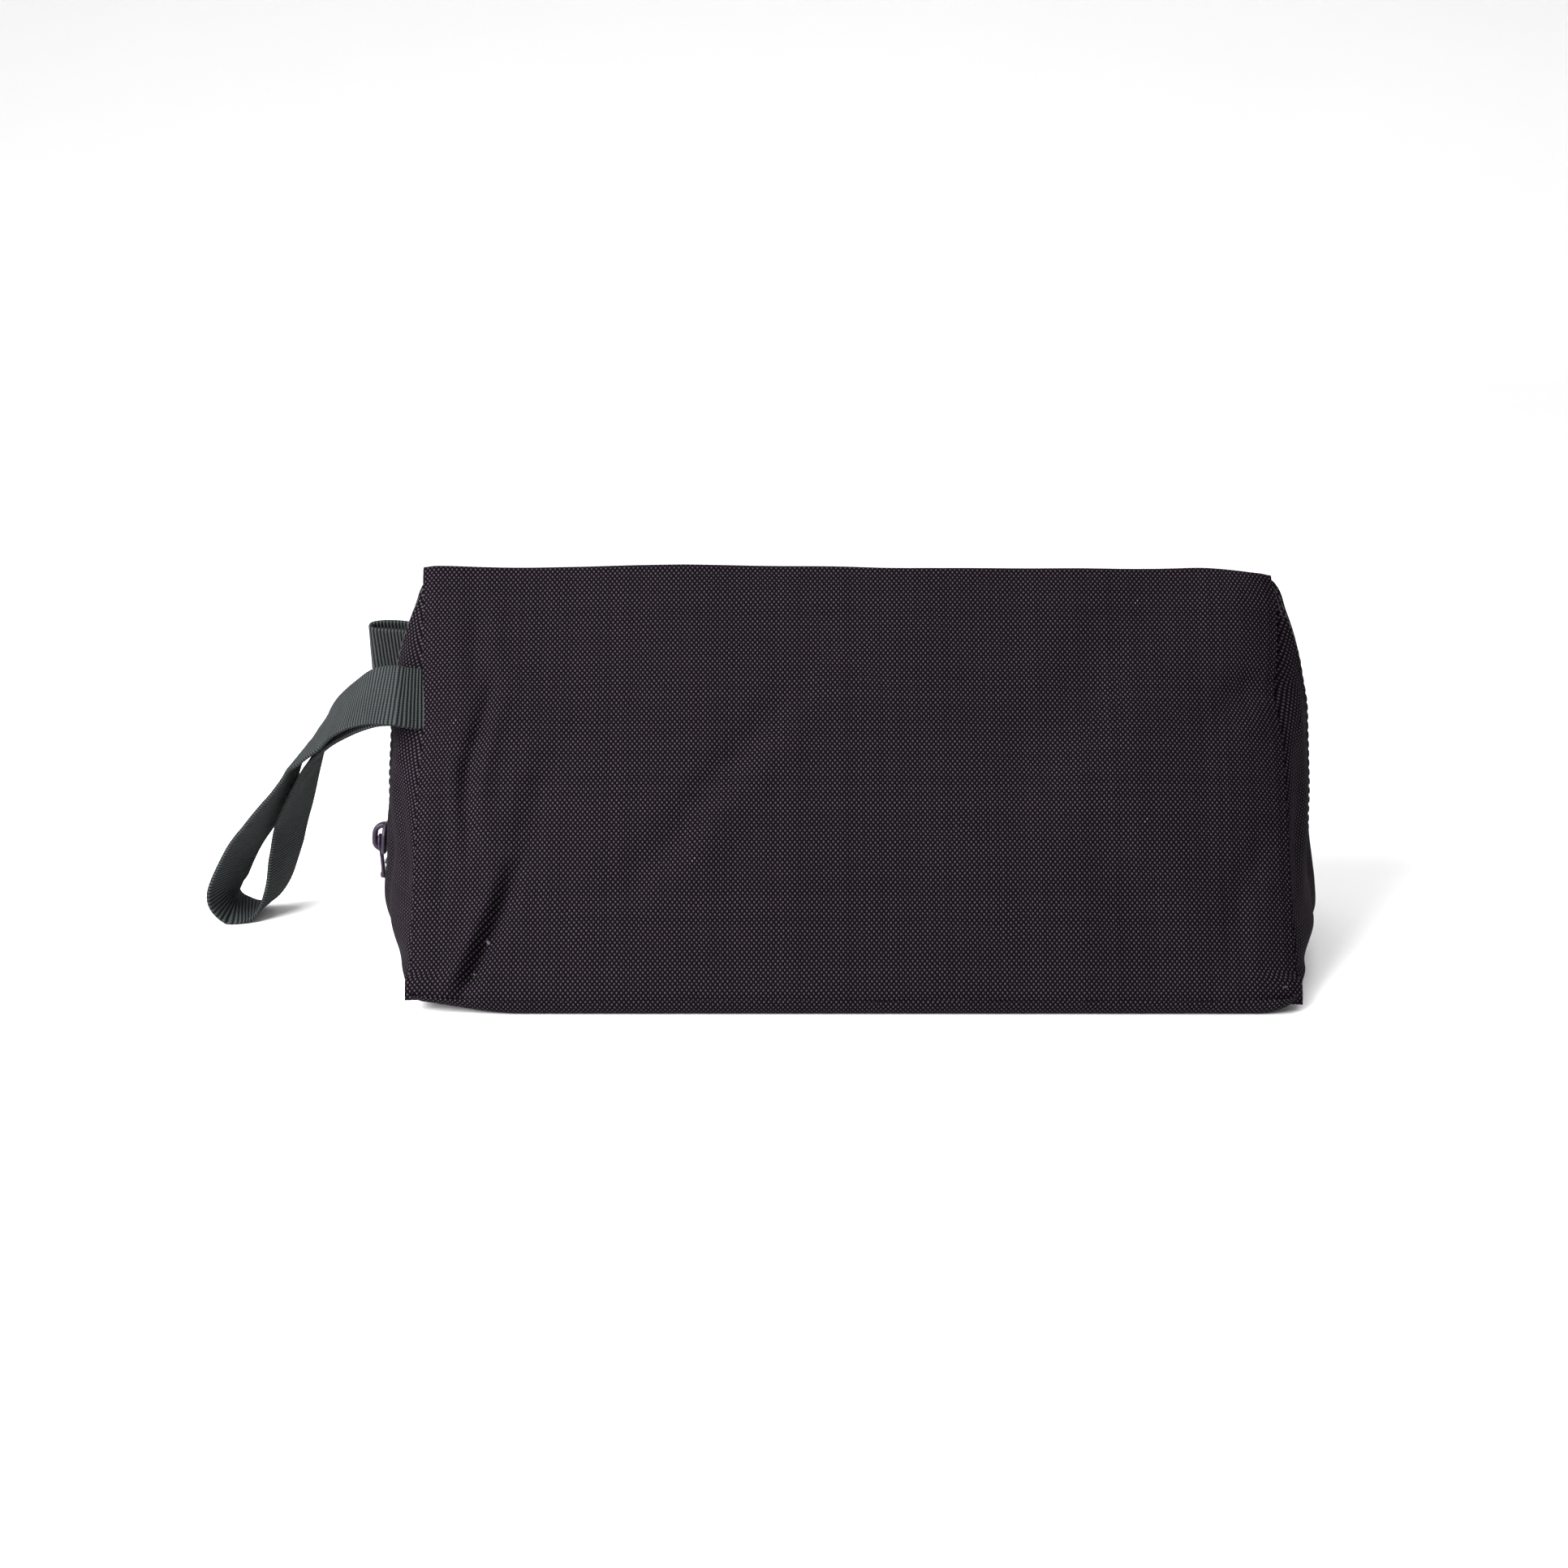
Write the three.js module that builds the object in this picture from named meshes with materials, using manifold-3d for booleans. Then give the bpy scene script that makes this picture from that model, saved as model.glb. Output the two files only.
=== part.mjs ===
// Soft shaving kit bag: a tent-shaped woven bag with a zip along its ridge and down both ends, a carry
// loop on the near left seam and a pull tab on the far left seam. Millimetres, +Z up, floor at Z = 0,
// origin under the middle of the base. +X is the bag's right end, -Y its front.
import * as THREE from "three";
import { mergeVertices } from "three/addons/utils/BufferGeometryUtils.js";
import Module from "manifold-3d";

const wasm = await Module();
wasm.setup();

// Driving dimensions.
const LENGTH = 260; // seam to seam, along X
const DEPTH = 138; // front to back at the base
const HEIGHT = 121; // floor to the folded top edges
const HEM = 4; // height of the base seam
const FABRIC = 1.2; // outer fabric with its backing
const LINING = 0.5;
const GAP = 0.3; // clearance between neighbouring pieces
const END_BULGE = 15.6; // how far the end panels belly out at the foot of the zip
const END_LEAN = 4.3; // how far the zip line leans in over its straight run
const SLIT_FOOT = 28; // where the zip starts, up from the floor
const SLIT_STRAIGHT = 80; // where the zip line starts to turn in
const TAPE_EDGE = 7.3; // outer edge of the zip tape from the centre line
const TAPE_THICK = 0.8;
const EDGE_TUCK = 0.5; // how far the tape tucks under the cloth of the folded top edges
const COIL_INNER = 0.6;
const COIL_OUTER = 3.0;
const COIL_THICK = 1.6;
const WEBBING_WIDTH = 20;
const WEBBING_THICK = 1.3;
const LOOP_HEIGHT = 85.6; // middle of the carry loop's root on the near left seam
const TAB_HEIGHT = 90.3; // middle of the tab's root on the far left seam
const SLIDER_LENGTH = 10;
const SLIDER_WIDTH = 9;
const SLIDER_WALL = 1.2;
const SLIDER_ROOM = 0.7; // between the coil and each wing, for the coil to swing clear
const PULLER_LENGTH = 13.3; // pivot to tip
const PULLER_WIDTH = 4.4;

const HALF_LENGTH = LENGTH / 2;
const HALF_DEPTH = DEPTH / 2;
const RIDGE_GAP = 2 * (TAPE_EDGE + FABRIC - EDGE_TUCK); // between the two folded top edges
const HALF_RIDGE = RIDGE_GAP / 2;
const BASE_LIFT = HEM - GAP - FABRIC; // how far the base turns up at its edges
const BASE_FLAT = 0.86; // share of the base that lies flat
const STRIP_TOP = HEIGHT - 6;
const MERGE_WITHIN = 1e-4;

const COLOURS = {
  shell_fabric: 0x3a323c,
  lining_fabric: 0x2a2a2d,
  webbing: 0x4a5052,
  zip_tape: 0x332c36,
  zip_coil: 0x2b262d,
  zip_metal: 0x473c4d,
};

const group = new THREE.Group();
group.name = "shaving_kit_bag";

function add(name, slot, geometry) {
  const material = new THREE.MeshStandardMaterial({ name: slot, color: COLOURS[slot], roughness: 0.8 });
  const mesh = new THREE.Mesh(geometry, material);
  mesh.name = name;
  group.add(mesh);
}

const range = (a, b, n) => Array.from({ length: n + 1 }, (_, i) => a + ((b - a) * i) / n);
const clamp01 = (v) => Math.min(1, Math.max(0, v));
const smooth = (v) => clamp01(v) ** 2 * (3 - 2 * clamp01(v));

// Closed solid from rings of points: each ring is a loop, neighbours are joined, the two end rings
// are capped as quads or fans.
function solidFromRings(rings) {
  const count = rings[0].length;
  const position = rings.flat().flatMap((p) => [p.x, p.y, p.z]);
  const index = [];
  for (let r = 0; r + 1 < rings.length; r++) {
    for (let k = 0; k < count; k++) {
      const a = r * count + k;
      const b = r * count + ((k + 1) % count);
      index.push(a, b, b + count, a, b + count, a + count);
    }
  }
  const last = (rings.length - 1) * count;
  for (let k = 0; k < count / 2 - 1; k++) {
    const far = count - 1 - k;
    index.push(k, far, far - 1, k, far - 1, k + 1);
    index.push(last + k, last + far - 1, last + far, last + k, last + k + 1, last + far - 1);
  }
  return facingOut(position, index);
}

function facingOut(position, index) {
  let volume = 0;
  for (let i = 0; i < index.length; i += 3) {
    const [a, b, c] = [0, 1, 2].map((k) => new THREE.Vector3().fromArray(position, 3 * index[i + k]));
    volume += a.dot(b.cross(c));
  }
  if (volume < 0) {
    for (let i = 0; i < index.length; i += 3) {
      [index[i + 1], index[i + 2]] = [index[i + 2], index[i + 1]];
    }
  }
  const geometry = new THREE.BufferGeometry();
  geometry.setAttribute("position", new THREE.Float32BufferAttribute(position, 3));
  geometry.setIndex(index);
  geometry.computeVertexNormals();
  return geometry;
}

// Thin sheet over a grid: point(u, v) is its outer face and shift carries that face to the inner one.
function sheet(point, shift, us, vs) {
  return solidFromRings(
    vs.map((v) => {
      const outer = us.map((u) => point(u, v));
      const inner = outer.map((p) => p.clone().add(shift)).reverse();
      return [...outer, ...inner];
    }),
  );
}

// Shape of the bag.
const halfDepthAt = (z) =>
  HALF_RIDGE + ((HALF_DEPTH - HALF_RIDGE) * (HEIGHT - z)) / (HEIGHT - HEM);
const endReach = (z) => halfDepthAt(z) - FABRIC - GAP; // the end pieces stop here, inside the panels

// Zip line seen from the front, left side: straight up the end, then over the shoulder to the ridge.
const ZIP_RIDGE = HEIGHT - 2;
const zipFootX = HALF_LENGTH + END_BULGE;
const shoulder = new THREE.SplineCurve([
  new THREE.Vector2(-zipFootX + END_LEAN, SLIT_STRAIGHT),
  new THREE.Vector2(-HALF_LENGTH - 9.0, SLIT_STRAIGHT + 0.27 * (ZIP_RIDGE - SLIT_STRAIGHT)),
  new THREE.Vector2(-HALF_LENGTH - 6.3, SLIT_STRAIGHT + 0.56 * (ZIP_RIDGE - SLIT_STRAIGHT)),
  new THREE.Vector2(-HALF_LENGTH - 3.4, SLIT_STRAIGHT + 0.77 * (ZIP_RIDGE - SLIT_STRAIGHT)),
  new THREE.Vector2(-HALF_LENGTH - 0.8, SLIT_STRAIGHT + 0.93 * (ZIP_RIDGE - SLIT_STRAIGHT)),
  new THREE.Vector2(-HALF_LENGTH + 2.5, ZIP_RIDGE - 0.5),
  new THREE.Vector2(-HALF_LENGTH + 8, ZIP_RIDGE),
]);
const straight = range(SLIT_FOOT + GAP, SLIT_STRAIGHT, 4)
  .slice(0, -1)
  .map((z) => new THREE.Vector2(zipX(z), z));
const leftZip = [...straight, ...shoulder.getPoints(24)];
const zipLine = [...leftZip, ...leftZip.map((p) => new THREE.Vector2(-p.x, p.y)).reverse()];

function zipX(z) {
  if (z > SLIT_STRAIGHT) {
    const points = shoulder.getPoints(40);
    const k = Math.max(1, points.findIndex((p) => p.y >= z));
    const [a, b] = [points[k - 1], points[k]];
    return a.x + ((b.x - a.x) * (z - a.y)) / (b.y - a.y);
  }
  const rise = clamp01((z - SLIT_FOOT) / (SLIT_STRAIGHT - SLIT_FOOT));
  const belly = Math.sin((Math.PI / 2) * clamp01((z - HEM) / (SLIT_FOOT - HEM)));
  return -(HALF_LENGTH + END_BULGE * belly - END_LEAN * rise);
}

// Outer face of an end panel; side is -1 for the left end and +1 for the right one.
function endPoint(side, y, z) {
  const r = Math.min(1, Math.abs(y) / endReach(z));
  const belly = (-zipX(z) - HALF_LENGTH) * (1 - r * r) ** 1.2;
  return new THREE.Vector3(side * (HALF_LENGTH + belly), y, z);
}

// Front and back panels with their linings.
const across = range(-1, 1, 12);
for (const [name, side] of [
  ["front", -1],
  ["back", 1],
]) {
  const panel = (inset, reach) => (u, z) =>
    new THREE.Vector3(u * reach, side * (halfDepthAt(z) - inset), z);
  add(
    `${name}_panel`,
    "shell_fabric",
    sheet(panel(0, HALF_LENGTH), new THREE.Vector3(0, -side * FABRIC, 0), across, range(HEM, HEIGHT, 9)),
  );
  add(
    `${name}_lining`,
    "lining_fabric",
    sheet(
      panel(FABRIC + GAP, HALF_LENGTH - FABRIC - 2 * GAP - LINING - GAP / 2),
      new THREE.Vector3(0, -side * LINING, 0),
      across,
      range(HEM + LINING + GAP, STRIP_TOP, 9),
    ),
  );
}

// Base: flat on the floor, turned up to meet the panels all round.
const edgeSteps = [BASE_FLAT, 0.895, 0.93, 0.965, 1];
const baseSteps = [...edgeSteps.map((s) => -s).reverse(), -0.45, 0, 0.45, ...edgeSteps];
const lift = (u, v) =>
  BASE_LIFT * smooth((Math.max(Math.abs(u), Math.abs(v)) - BASE_FLAT) / (1 - BASE_FLAT));
const base = (inset, raise) => (u, v) =>
  new THREE.Vector3(u * (HALF_LENGTH - inset), v * (HALF_DEPTH - inset), lift(u, v) + raise);
add(
  "base_panel",
  "shell_fabric",
  sheet(base(0, 0), new THREE.Vector3(0, 0, FABRIC), baseSteps, baseSteps),
);
add(
  "base_lining",
  "lining_fabric",
  sheet(base(FABRIC + GAP, FABRIC + GAP), new THREE.Vector3(0, 0, LINING), baseSteps, baseSteps),
);

// End panels: one piece below the slit, one strip each side of the zip, each with a lining.
for (const [name, side] of [
  ["left", -1],
  ["right", 1],
]) {
  const inward = (d) => new THREE.Vector3(-side * d, 0, 0);
  const lower = (inset) => (u, z) => endPoint(side, u * endReach(z), z).add(inward(inset));
  const lowerHeights = range(HEM, SLIT_FOOT - GAP, 7);
  add(`${name}_end_lower`, "shell_fabric", sheet(lower(0), inward(FABRIC), range(-1, 1, 20), lowerHeights));
  add(
    `${name}_lower_lining`,
    "lining_fabric",
    sheet(
      lower(FABRIC + GAP),
      inward(LINING),
      range(-1, 1, 20),
      range(HEM + LINING + 2 * GAP, SLIT_FOOT - GAP, 7),
    ),
  );
  for (const [half, way] of [
    ["front", -1],
    ["back", 1],
  ]) {
    const inner = TAPE_EDGE + GAP;
    const strip = (inset) => (u, z) =>
      endPoint(side, way * (inner + u * (endReach(z) - inner)), z).add(inward(inset));
    const heights = range(SLIT_FOOT, STRIP_TOP, 14);
    add(`${name}_end_${half}`, "shell_fabric", sheet(strip(0), inward(FABRIC), range(0, 1, 10), heights));
    add(
      `${name}_${half}_lining`,
      "lining_fabric",
      sheet(strip(FABRIC + GAP), inward(LINING), range(0, 1, 10), heights),
    );
  }
}

// Bar that follows the zip line, between two distances off the line and two distances from the centre.
function zipBar(thick, y0, y1) {
  const rings = zipLine.map((p, i) => {
    const before = zipLine[Math.max(0, i - 1)];
    const after = zipLine[Math.min(zipLine.length - 1, i + 1)];
    const along = after.clone().sub(before).normalize();
    const out = new THREE.Vector2(-along.y, along.x).multiplyScalar(thick / 2);
    const outer = p.clone().add(out);
    const inner = p.clone().sub(out);
    return [
      new THREE.Vector3(outer.x, y0, outer.y),
      new THREE.Vector3(outer.x, y1, outer.y),
      new THREE.Vector3(inner.x, y1, inner.y),
      new THREE.Vector3(inner.x, y0, inner.y),
    ];
  });
  return solidFromRings(rings);
}
add("zip_tape_front", "zip_tape", zipBar(TAPE_THICK, -TAPE_EDGE, -COIL_OUTER - GAP));
add("zip_tape_back", "zip_tape", zipBar(TAPE_THICK, COIL_OUTER + GAP, TAPE_EDGE));
add("zip_coil_front", "zip_coil", zipBar(COIL_THICK, -COIL_OUTER, -COIL_INNER));
add("zip_coil_back", "zip_coil", zipBar(COIL_THICK, COIL_INNER, COIL_OUTER));

// Zip hardware is laid out flat, n outwards from the zip line and t up along it, then set in place.
const zipAlong = new THREE.Vector2(END_LEAN, SLIT_STRAIGHT - SLIT_FOOT).normalize();
function onZip(solid, mirror) {
  const place = new THREE.Matrix4().set(
    -zipAlong.y, 0, zipAlong.x, -zipFootX,
    0, -1, 0, 0,
    zipAlong.x, 0, zipAlong.y, SLIT_FOOT,
    0, 0, 0, 1,
  );
  const mesh = solid.getMesh();
  const position = [];
  for (let i = 0; i < mesh.numVert; i++) {
    const p = new THREE.Vector3().fromArray(mesh.vertProperties, i * mesh.numProp).applyMatrix4(place);
    position.push(mirror ? -p.x : p.x, p.y, p.z);
  }
  return facingOut(position, Array.from(mesh.triVerts));
}
function solidOf(geometry) {
  geometry.deleteAttribute("normal");
  geometry.deleteAttribute("uv");
  const merged = mergeVertices(geometry, MERGE_WITHIN);
  return new wasm.Manifold(
    new wasm.Mesh({
      numProp: 3,
      vertProperties: new Float32Array(merged.attributes.position.array),
      triVerts: new Uint32Array(merged.index.array),
    }),
  );
}
const block = (n0, n1, halfWidth, t0, t1) =>
  solidOf(
    new THREE.BoxGeometry(n1 - n0, 2 * halfWidth, t1 - t0).translate((n0 + n1) / 2, 0, (t0 + t1) / 2),
  );

// Stops: a bar over the foot of each slit.
const stop = block(GAP + 0.1, GAP + SLIDER_WALL, COIL_OUTER, -1.6, -0.1);
add("zip_stop_left", "zip_metal", onZip(stop, false));
add("zip_stop_right", "zip_metal", onZip(stop, true));

// Slider: two wings joined by a post between the coils, with a bridge for the puller on the outer wing.
const SLIDER_FOOT = 1.5;
const WING = COIL_THICK / 2 + SLIDER_ROOM;
const wingTop = WING + SLIDER_WALL;
const sliderEnd = SLIDER_FOOT + SLIDER_LENGTH;
const BRIDGE_HALF = 0.8;
const BRIDGE_CLEAR = 2.2;
const BRIDGE_WALL = 0.9;
const BRIDGE_FOOT = 1.4;
const PIVOT_T = SLIDER_FOOT + SLIDER_LENGTH / 2;
const PIVOT_N = wingTop + BRIDGE_CLEAR / 2;
const bridgeReach = SLIDER_LENGTH / 2 - 1.2;
const wingShape = (n0, n1, half) => {
  const edge = [
    [-half * 0.72, SLIDER_FOOT],
    [half * 0.72, SLIDER_FOOT],
    [half, SLIDER_FOOT + 2.2],
    [half, sliderEnd - 3.4],
    [half * 0.55, sliderEnd],
    [-half * 0.55, sliderEnd],
    [-half, sliderEnd - 3.4],
    [-half, SLIDER_FOOT + 2.2],
  ];
  const shape = new THREE.Shape(edge.map(([across, along]) => new THREE.Vector2(across, along)));
  const plate = new THREE.ExtrudeGeometry(shape, { depth: n1 - n0, bevelEnabled: false });
  return solidOf(plate.rotateX(Math.PI / 2).rotateZ(Math.PI / 2).translate(n0, 0, 0));
};
const post = block(-WING - 0.2, WING + 0.2, COIL_INNER - GAP / 1.5, sliderEnd - 4.5, sliderEnd - 1);
const bridge = block(
  wingTop - 0.2,
  wingTop + BRIDGE_CLEAR + BRIDGE_WALL,
  BRIDGE_HALF,
  PIVOT_T - bridgeReach,
  PIVOT_T + bridgeReach,
).subtract(
  block(
    wingTop,
    wingTop + BRIDGE_CLEAR,
    BRIDGE_HALF + 1,
    PIVOT_T - bridgeReach + BRIDGE_FOOT,
    PIVOT_T + bridgeReach - BRIDGE_FOOT,
  ),
);
const slider = wingShape(WING, wingTop, SLIDER_WIDTH / 2)
  .add(wingShape(-wingTop, -WING, SLIDER_WIDTH / 2))
  .add(post)
  .add(bridge);
add("slider_body", "zip_metal", onZip(slider, false));

// Puller: a crossbar through the bridge, two arms beside it and a short tongue with a thicker foot.
const PULLER_THICK = 0.9;
const ARM_INNER = BRIDGE_HALF + GAP;
const TONGUE_START = 4.8;
const pn0 = PIVOT_N - PULLER_THICK / 2;
const pn1 = PIVOT_N + PULLER_THICK / 2;
const tip = PIVOT_T - PULLER_LENGTH;
const arm = block(pn0, pn1, (PULLER_WIDTH / 2 - ARM_INNER) / 2, PIVOT_T - TONGUE_START - 0.4, PIVOT_T + 0.45);
const armShift = (PULLER_WIDTH / 2 + ARM_INNER) / 2;
const puller = block(pn0, pn1, PULLER_WIDTH / 2, PIVOT_T - 0.45, PIVOT_T + 0.45)
  .add(arm.translate([0, armShift, 0]))
  .add(arm.translate([0, -armShift, 0]))
  .add(block(pn0, pn1, PULLER_WIDTH / 2, tip, PIVOT_T - TONGUE_START))
  .add(block(pn0, pn1 + 0.5, PULLER_WIDTH / 2, tip, tip + 2));
add("puller", "zip_metal", onZip(puller, false));

// Webbing: a flat strip through stations, each a middle point and the direction across the strip.
function webbing(middles, acrosses, perSpan) {
  const curve = new THREE.CatmullRomCurve3(middles);
  const turn = new THREE.CatmullRomCurve3(acrosses);
  const n = (middles.length - 1) * perSpan;
  const rings = range(0, 1, n).map((t) => {
    const p = curve.getPoint(t);
    const along = curve.getTangent(t);
    const wide = turn.getPoint(t);
    wide.addScaledVector(along, -wide.dot(along)).setLength(WEBBING_WIDTH / 2);
    const thick = along.clone().cross(wide).setLength(WEBBING_THICK / 2);
    return [
      p.clone().add(wide).add(thick),
      p.clone().sub(wide).add(thick),
      p.clone().sub(wide).sub(thick),
      p.clone().add(wide).sub(thick),
    ];
  });
  return solidFromRings(rings);
}

// A root is the stack of two webbing layers held in a left-hand seam.
function seamRoot(side, z) {
  const run = (HALF_DEPTH - HALF_RIDGE) / (HEIGHT - HEM);
  const up = new THREE.Vector3(0, -side * run, 1).normalize();
  const out = new THREE.Vector3(0, side, run).normalize();
  const at = new THREE.Vector3(-HALF_LENGTH - 2 * GAP, side * halfDepthAt(z), z);
  return { up, out, at };
}

// Carry loop: middle points as offsets from its root (X, Y) and heights off the floor (Z), then the
// direction across the webbing. It leaves the seam, twists a quarter turn and droops to the floor.
const CARRY_LOOP = [
  [-7, 1.4, 85.8, -0.03, 0.5, 0.87],
  [-14, 4.6, 84.8, -0.05, 0.66, 0.75],
  [-20.6, 9.2, 81.4, -0.08, 0.84, 0.53],
  [-27.2, 14.4, 76.3, -0.12, 0.93, 0.34],
  [-32.5, 18.6, 70.2, -0.16, 0.98, 0.13],
  [-37.8, 22.6, 64.7, -0.17, 0.98, -0.04],
  [-43, 27.1, 59, -0.14, 0.97, -0.2],
  [-50, 32.1, 47.8, -0.02, 0.94, -0.33],
  [-57.8, 37.6, 36.5, 0.11, 0.92, -0.36],
  [-65.6, 42.6, 25.8, 0.26, 0.92, -0.29],
  [-71.6, 46.1, 15, 0.38, 0.91, -0.18],
  [-73.6, 48.4, 9.2, 0.4, 0.91, -0.06],
  [-72.2, 50, 5.2, 0.33, 0.94, 0.02],
  [-68.8, 51.3, 3.3, 0.2, 0.98, 0.05],
  [-64.6, 52.2, 3.1, 0.14, 0.99, 0.03],
  [-60.6, 52.6, 5.2, 0.12, 0.99, -0.06],
  [-57, 52.1, 11.9, 0.17, 0.97, -0.19],
  [-53.6, 50, 22.8, 0.25, 0.93, -0.27],
  [-49.8, 46.1, 34.9, 0.24, 0.94, -0.25],
  [-42.9, 37.6, 50.7, 0.06, 0.98, -0.19],
  [-37, 30, 61.4, -0.05, 0.99, -0.06],
  [-28.6, 20.6, 71.6, -0.1, 0.96, 0.19],
  [-19.4, 11.8, 79.6, -0.05, 0.8, 0.58],
  [-12.5, 5.4, 83.9, -0.04, 0.62, 0.76],
  [-7, 2.9, 85.2, -0.02, 0.52, 0.85],
];
const loopRoot = seamRoot(-1, LOOP_HEIGHT);
const LOOP_OUTER = 1.1; // how far each layer's middle stands off the panel's outer face
const LOOP_INNER = -0.5;
const SQUARE_RUN = 2.5; // both layers leave the seam square to it
const loopStart = loopRoot.at.clone().addScaledVector(loopRoot.out, LOOP_OUTER);
const loopEnd = loopRoot.at.clone().addScaledVector(loopRoot.out, LOOP_INNER);
const loopScale = LOOP_HEIGHT / CARRY_LOOP[0][2];
const loopMiddles = CARRY_LOOP.map(
  ([x, y, z]) => new THREE.Vector3(loopRoot.at.x + x, loopRoot.at.y + y, z * loopScale),
);
const loopAcross = CARRY_LOOP.map(([, , , x, y, z]) => new THREE.Vector3(x, y, z));
const squareOut = (p) => p.clone().add(new THREE.Vector3(-SQUARE_RUN, 0, 0));
add(
  "carry_loop",
  "webbing",
  webbing(
    [loopStart, squareOut(loopStart), ...loopMiddles, squareOut(loopEnd), loopEnd],
    [loopRoot.up, loopRoot.up, ...loopAcross, loopRoot.up, loopRoot.up],
    3,
  ),
);

// Pull tab: reach out from the seam and stand-off from the back panel's face.
const PULL_TAB = [
  [0, -0.5],
  [5, -0.35],
  [11, -0.3],
  [16.5, 0],
  [19.6, 0.6],
  [21, 2.6],
  [20, 4.9],
  [16, 5.8],
  [10, 5],
  [4.5, 2.9],
  [0, 1.1],
];
const tabRoot = seamRoot(1, TAB_HEIGHT);
const tabMiddles = PULL_TAB.map(([reach, off]) =>
  tabRoot.at.clone().add(new THREE.Vector3(-reach, 0, 0)).addScaledVector(tabRoot.out, off),
);
add("pull_tab", "webbing", webbing(tabMiddles, tabMiddles.map(() => tabRoot.up), 3));

export default group;
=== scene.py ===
"""Soft shaving kit bag: woven shell, linings, zip, slider, carry loop and pull tab, built round the frame.

Every operator builds its pieces in millimetres in the frame's own axes and stores them in metres.
"""

import math

import bmesh
import bpy
import numpy as np
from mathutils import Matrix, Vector, noise


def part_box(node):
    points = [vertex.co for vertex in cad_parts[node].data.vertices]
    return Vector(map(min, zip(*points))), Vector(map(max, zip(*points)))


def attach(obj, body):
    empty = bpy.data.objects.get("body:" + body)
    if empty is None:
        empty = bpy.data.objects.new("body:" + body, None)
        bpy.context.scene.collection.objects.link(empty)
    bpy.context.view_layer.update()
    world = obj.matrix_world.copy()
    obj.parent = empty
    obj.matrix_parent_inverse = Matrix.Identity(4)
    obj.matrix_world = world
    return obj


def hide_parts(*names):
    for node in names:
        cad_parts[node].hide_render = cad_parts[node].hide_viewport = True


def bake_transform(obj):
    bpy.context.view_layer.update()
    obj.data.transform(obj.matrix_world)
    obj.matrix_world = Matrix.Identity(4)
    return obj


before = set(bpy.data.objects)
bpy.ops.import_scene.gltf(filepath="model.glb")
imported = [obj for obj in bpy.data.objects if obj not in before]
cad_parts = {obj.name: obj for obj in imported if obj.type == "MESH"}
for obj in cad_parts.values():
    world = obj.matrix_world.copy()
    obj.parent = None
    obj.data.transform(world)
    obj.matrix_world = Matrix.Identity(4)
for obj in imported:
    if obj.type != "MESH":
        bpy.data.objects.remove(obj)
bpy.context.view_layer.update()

bl_info = {
    "name": "Shaving kit bag",
    "version": (1, 0, 0),
    "blender": (4, 5, 0),
    "location": "3D View > Sidebar > Kit bag",
    "description": "Builds a soft woven shaving kit bag with its zip, loop and tab",
    "category": "Object",
}

MM = 0.001
LEFT, RIGHT = -1, 1
FRONT, BACK = -1, 1
SIDES = {FRONT: "front", BACK: "back"}
ENDS = {LEFT: "left", RIGHT: "right"}


# ---- sizes, millimetres


def cad(node):
    low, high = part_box(node)
    return np.array(low) / MM, np.array(high) / MM


FABRIC = 1.2
PANEL_LOW, PANEL_HIGH = cad("front_panel")
END_LOW = cad("left_end_front")[0]
HALF_LENGTH = PANEL_HIGH[0]
HALF_DEPTH = -PANEL_LOW[1]
HEIGHT = PANEL_HIGH[2]
HEM = PANEL_LOW[2]
HALF_RIDGE = FABRIC - PANEL_HIGH[1]
SLIT_FOOT = END_LOW[2]
END_BULGE = -END_LOW[0] - HALF_LENGTH
SLOPE = (HALF_DEPTH - HALF_RIDGE) / (HEIGHT - HEM)
LEAN = math.hypot(1, SLOPE)
ZIP_RIDGE = HEIGHT - 2
SLIT_STRAIGHT = 80.0  # where the zip line starts to turn in
END_LEAN = 4.3  # how far the zip line leans in over its straight run
TAPE_EDGE = 7.3
WARP_PITCH = 0.70
WEFT_PITCH = 0.85
WEAVE_RELIEF = 0.16
RIB_PITCH = 1.12
TOP_FOLD = 1.25  # radius of the roll along the panels' top edges
SEAM_TUCK = 0.35  # how far an end panel starts inside its seam


# ---- settings


def length(name, description, default):
    return bpy.props.FloatProperty(name=name, description=description, default=default, unit="LENGTH")


def tint(name, description, default):
    return bpy.props.FloatVectorProperty(
        name=name, description=description, subtype="COLOR", default=default, min=0.0, max=1.0
    )


class KitBagSizes(bpy.types.PropertyGroup):
    """Sizes of the bag's soft parts."""

    wall: length("Shell thickness", "Thickness of the woven shell", 0.0009)
    lining: length("Lining thickness", "Thickness of the lining", 0.0004)
    webbing_width: length("Webbing width", "Width of the loop and tab webbing", 0.0186)
    webbing_thick: length("Webbing thickness", "Thickness of one layer of webbing", 0.0013)
    stitch_pitch: length("Stitch pitch", "Distance from one stitch to the next", 0.0029)
    tooth_pitch: length("Coil pitch", "Distance from one zip coil turn to the next", 0.0014)
    crease_depth: bpy.props.FloatProperty(
        name="Crease depth", description="How strongly the shell is creased", default=1.2, min=0.0, max=2.0
    )


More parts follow.
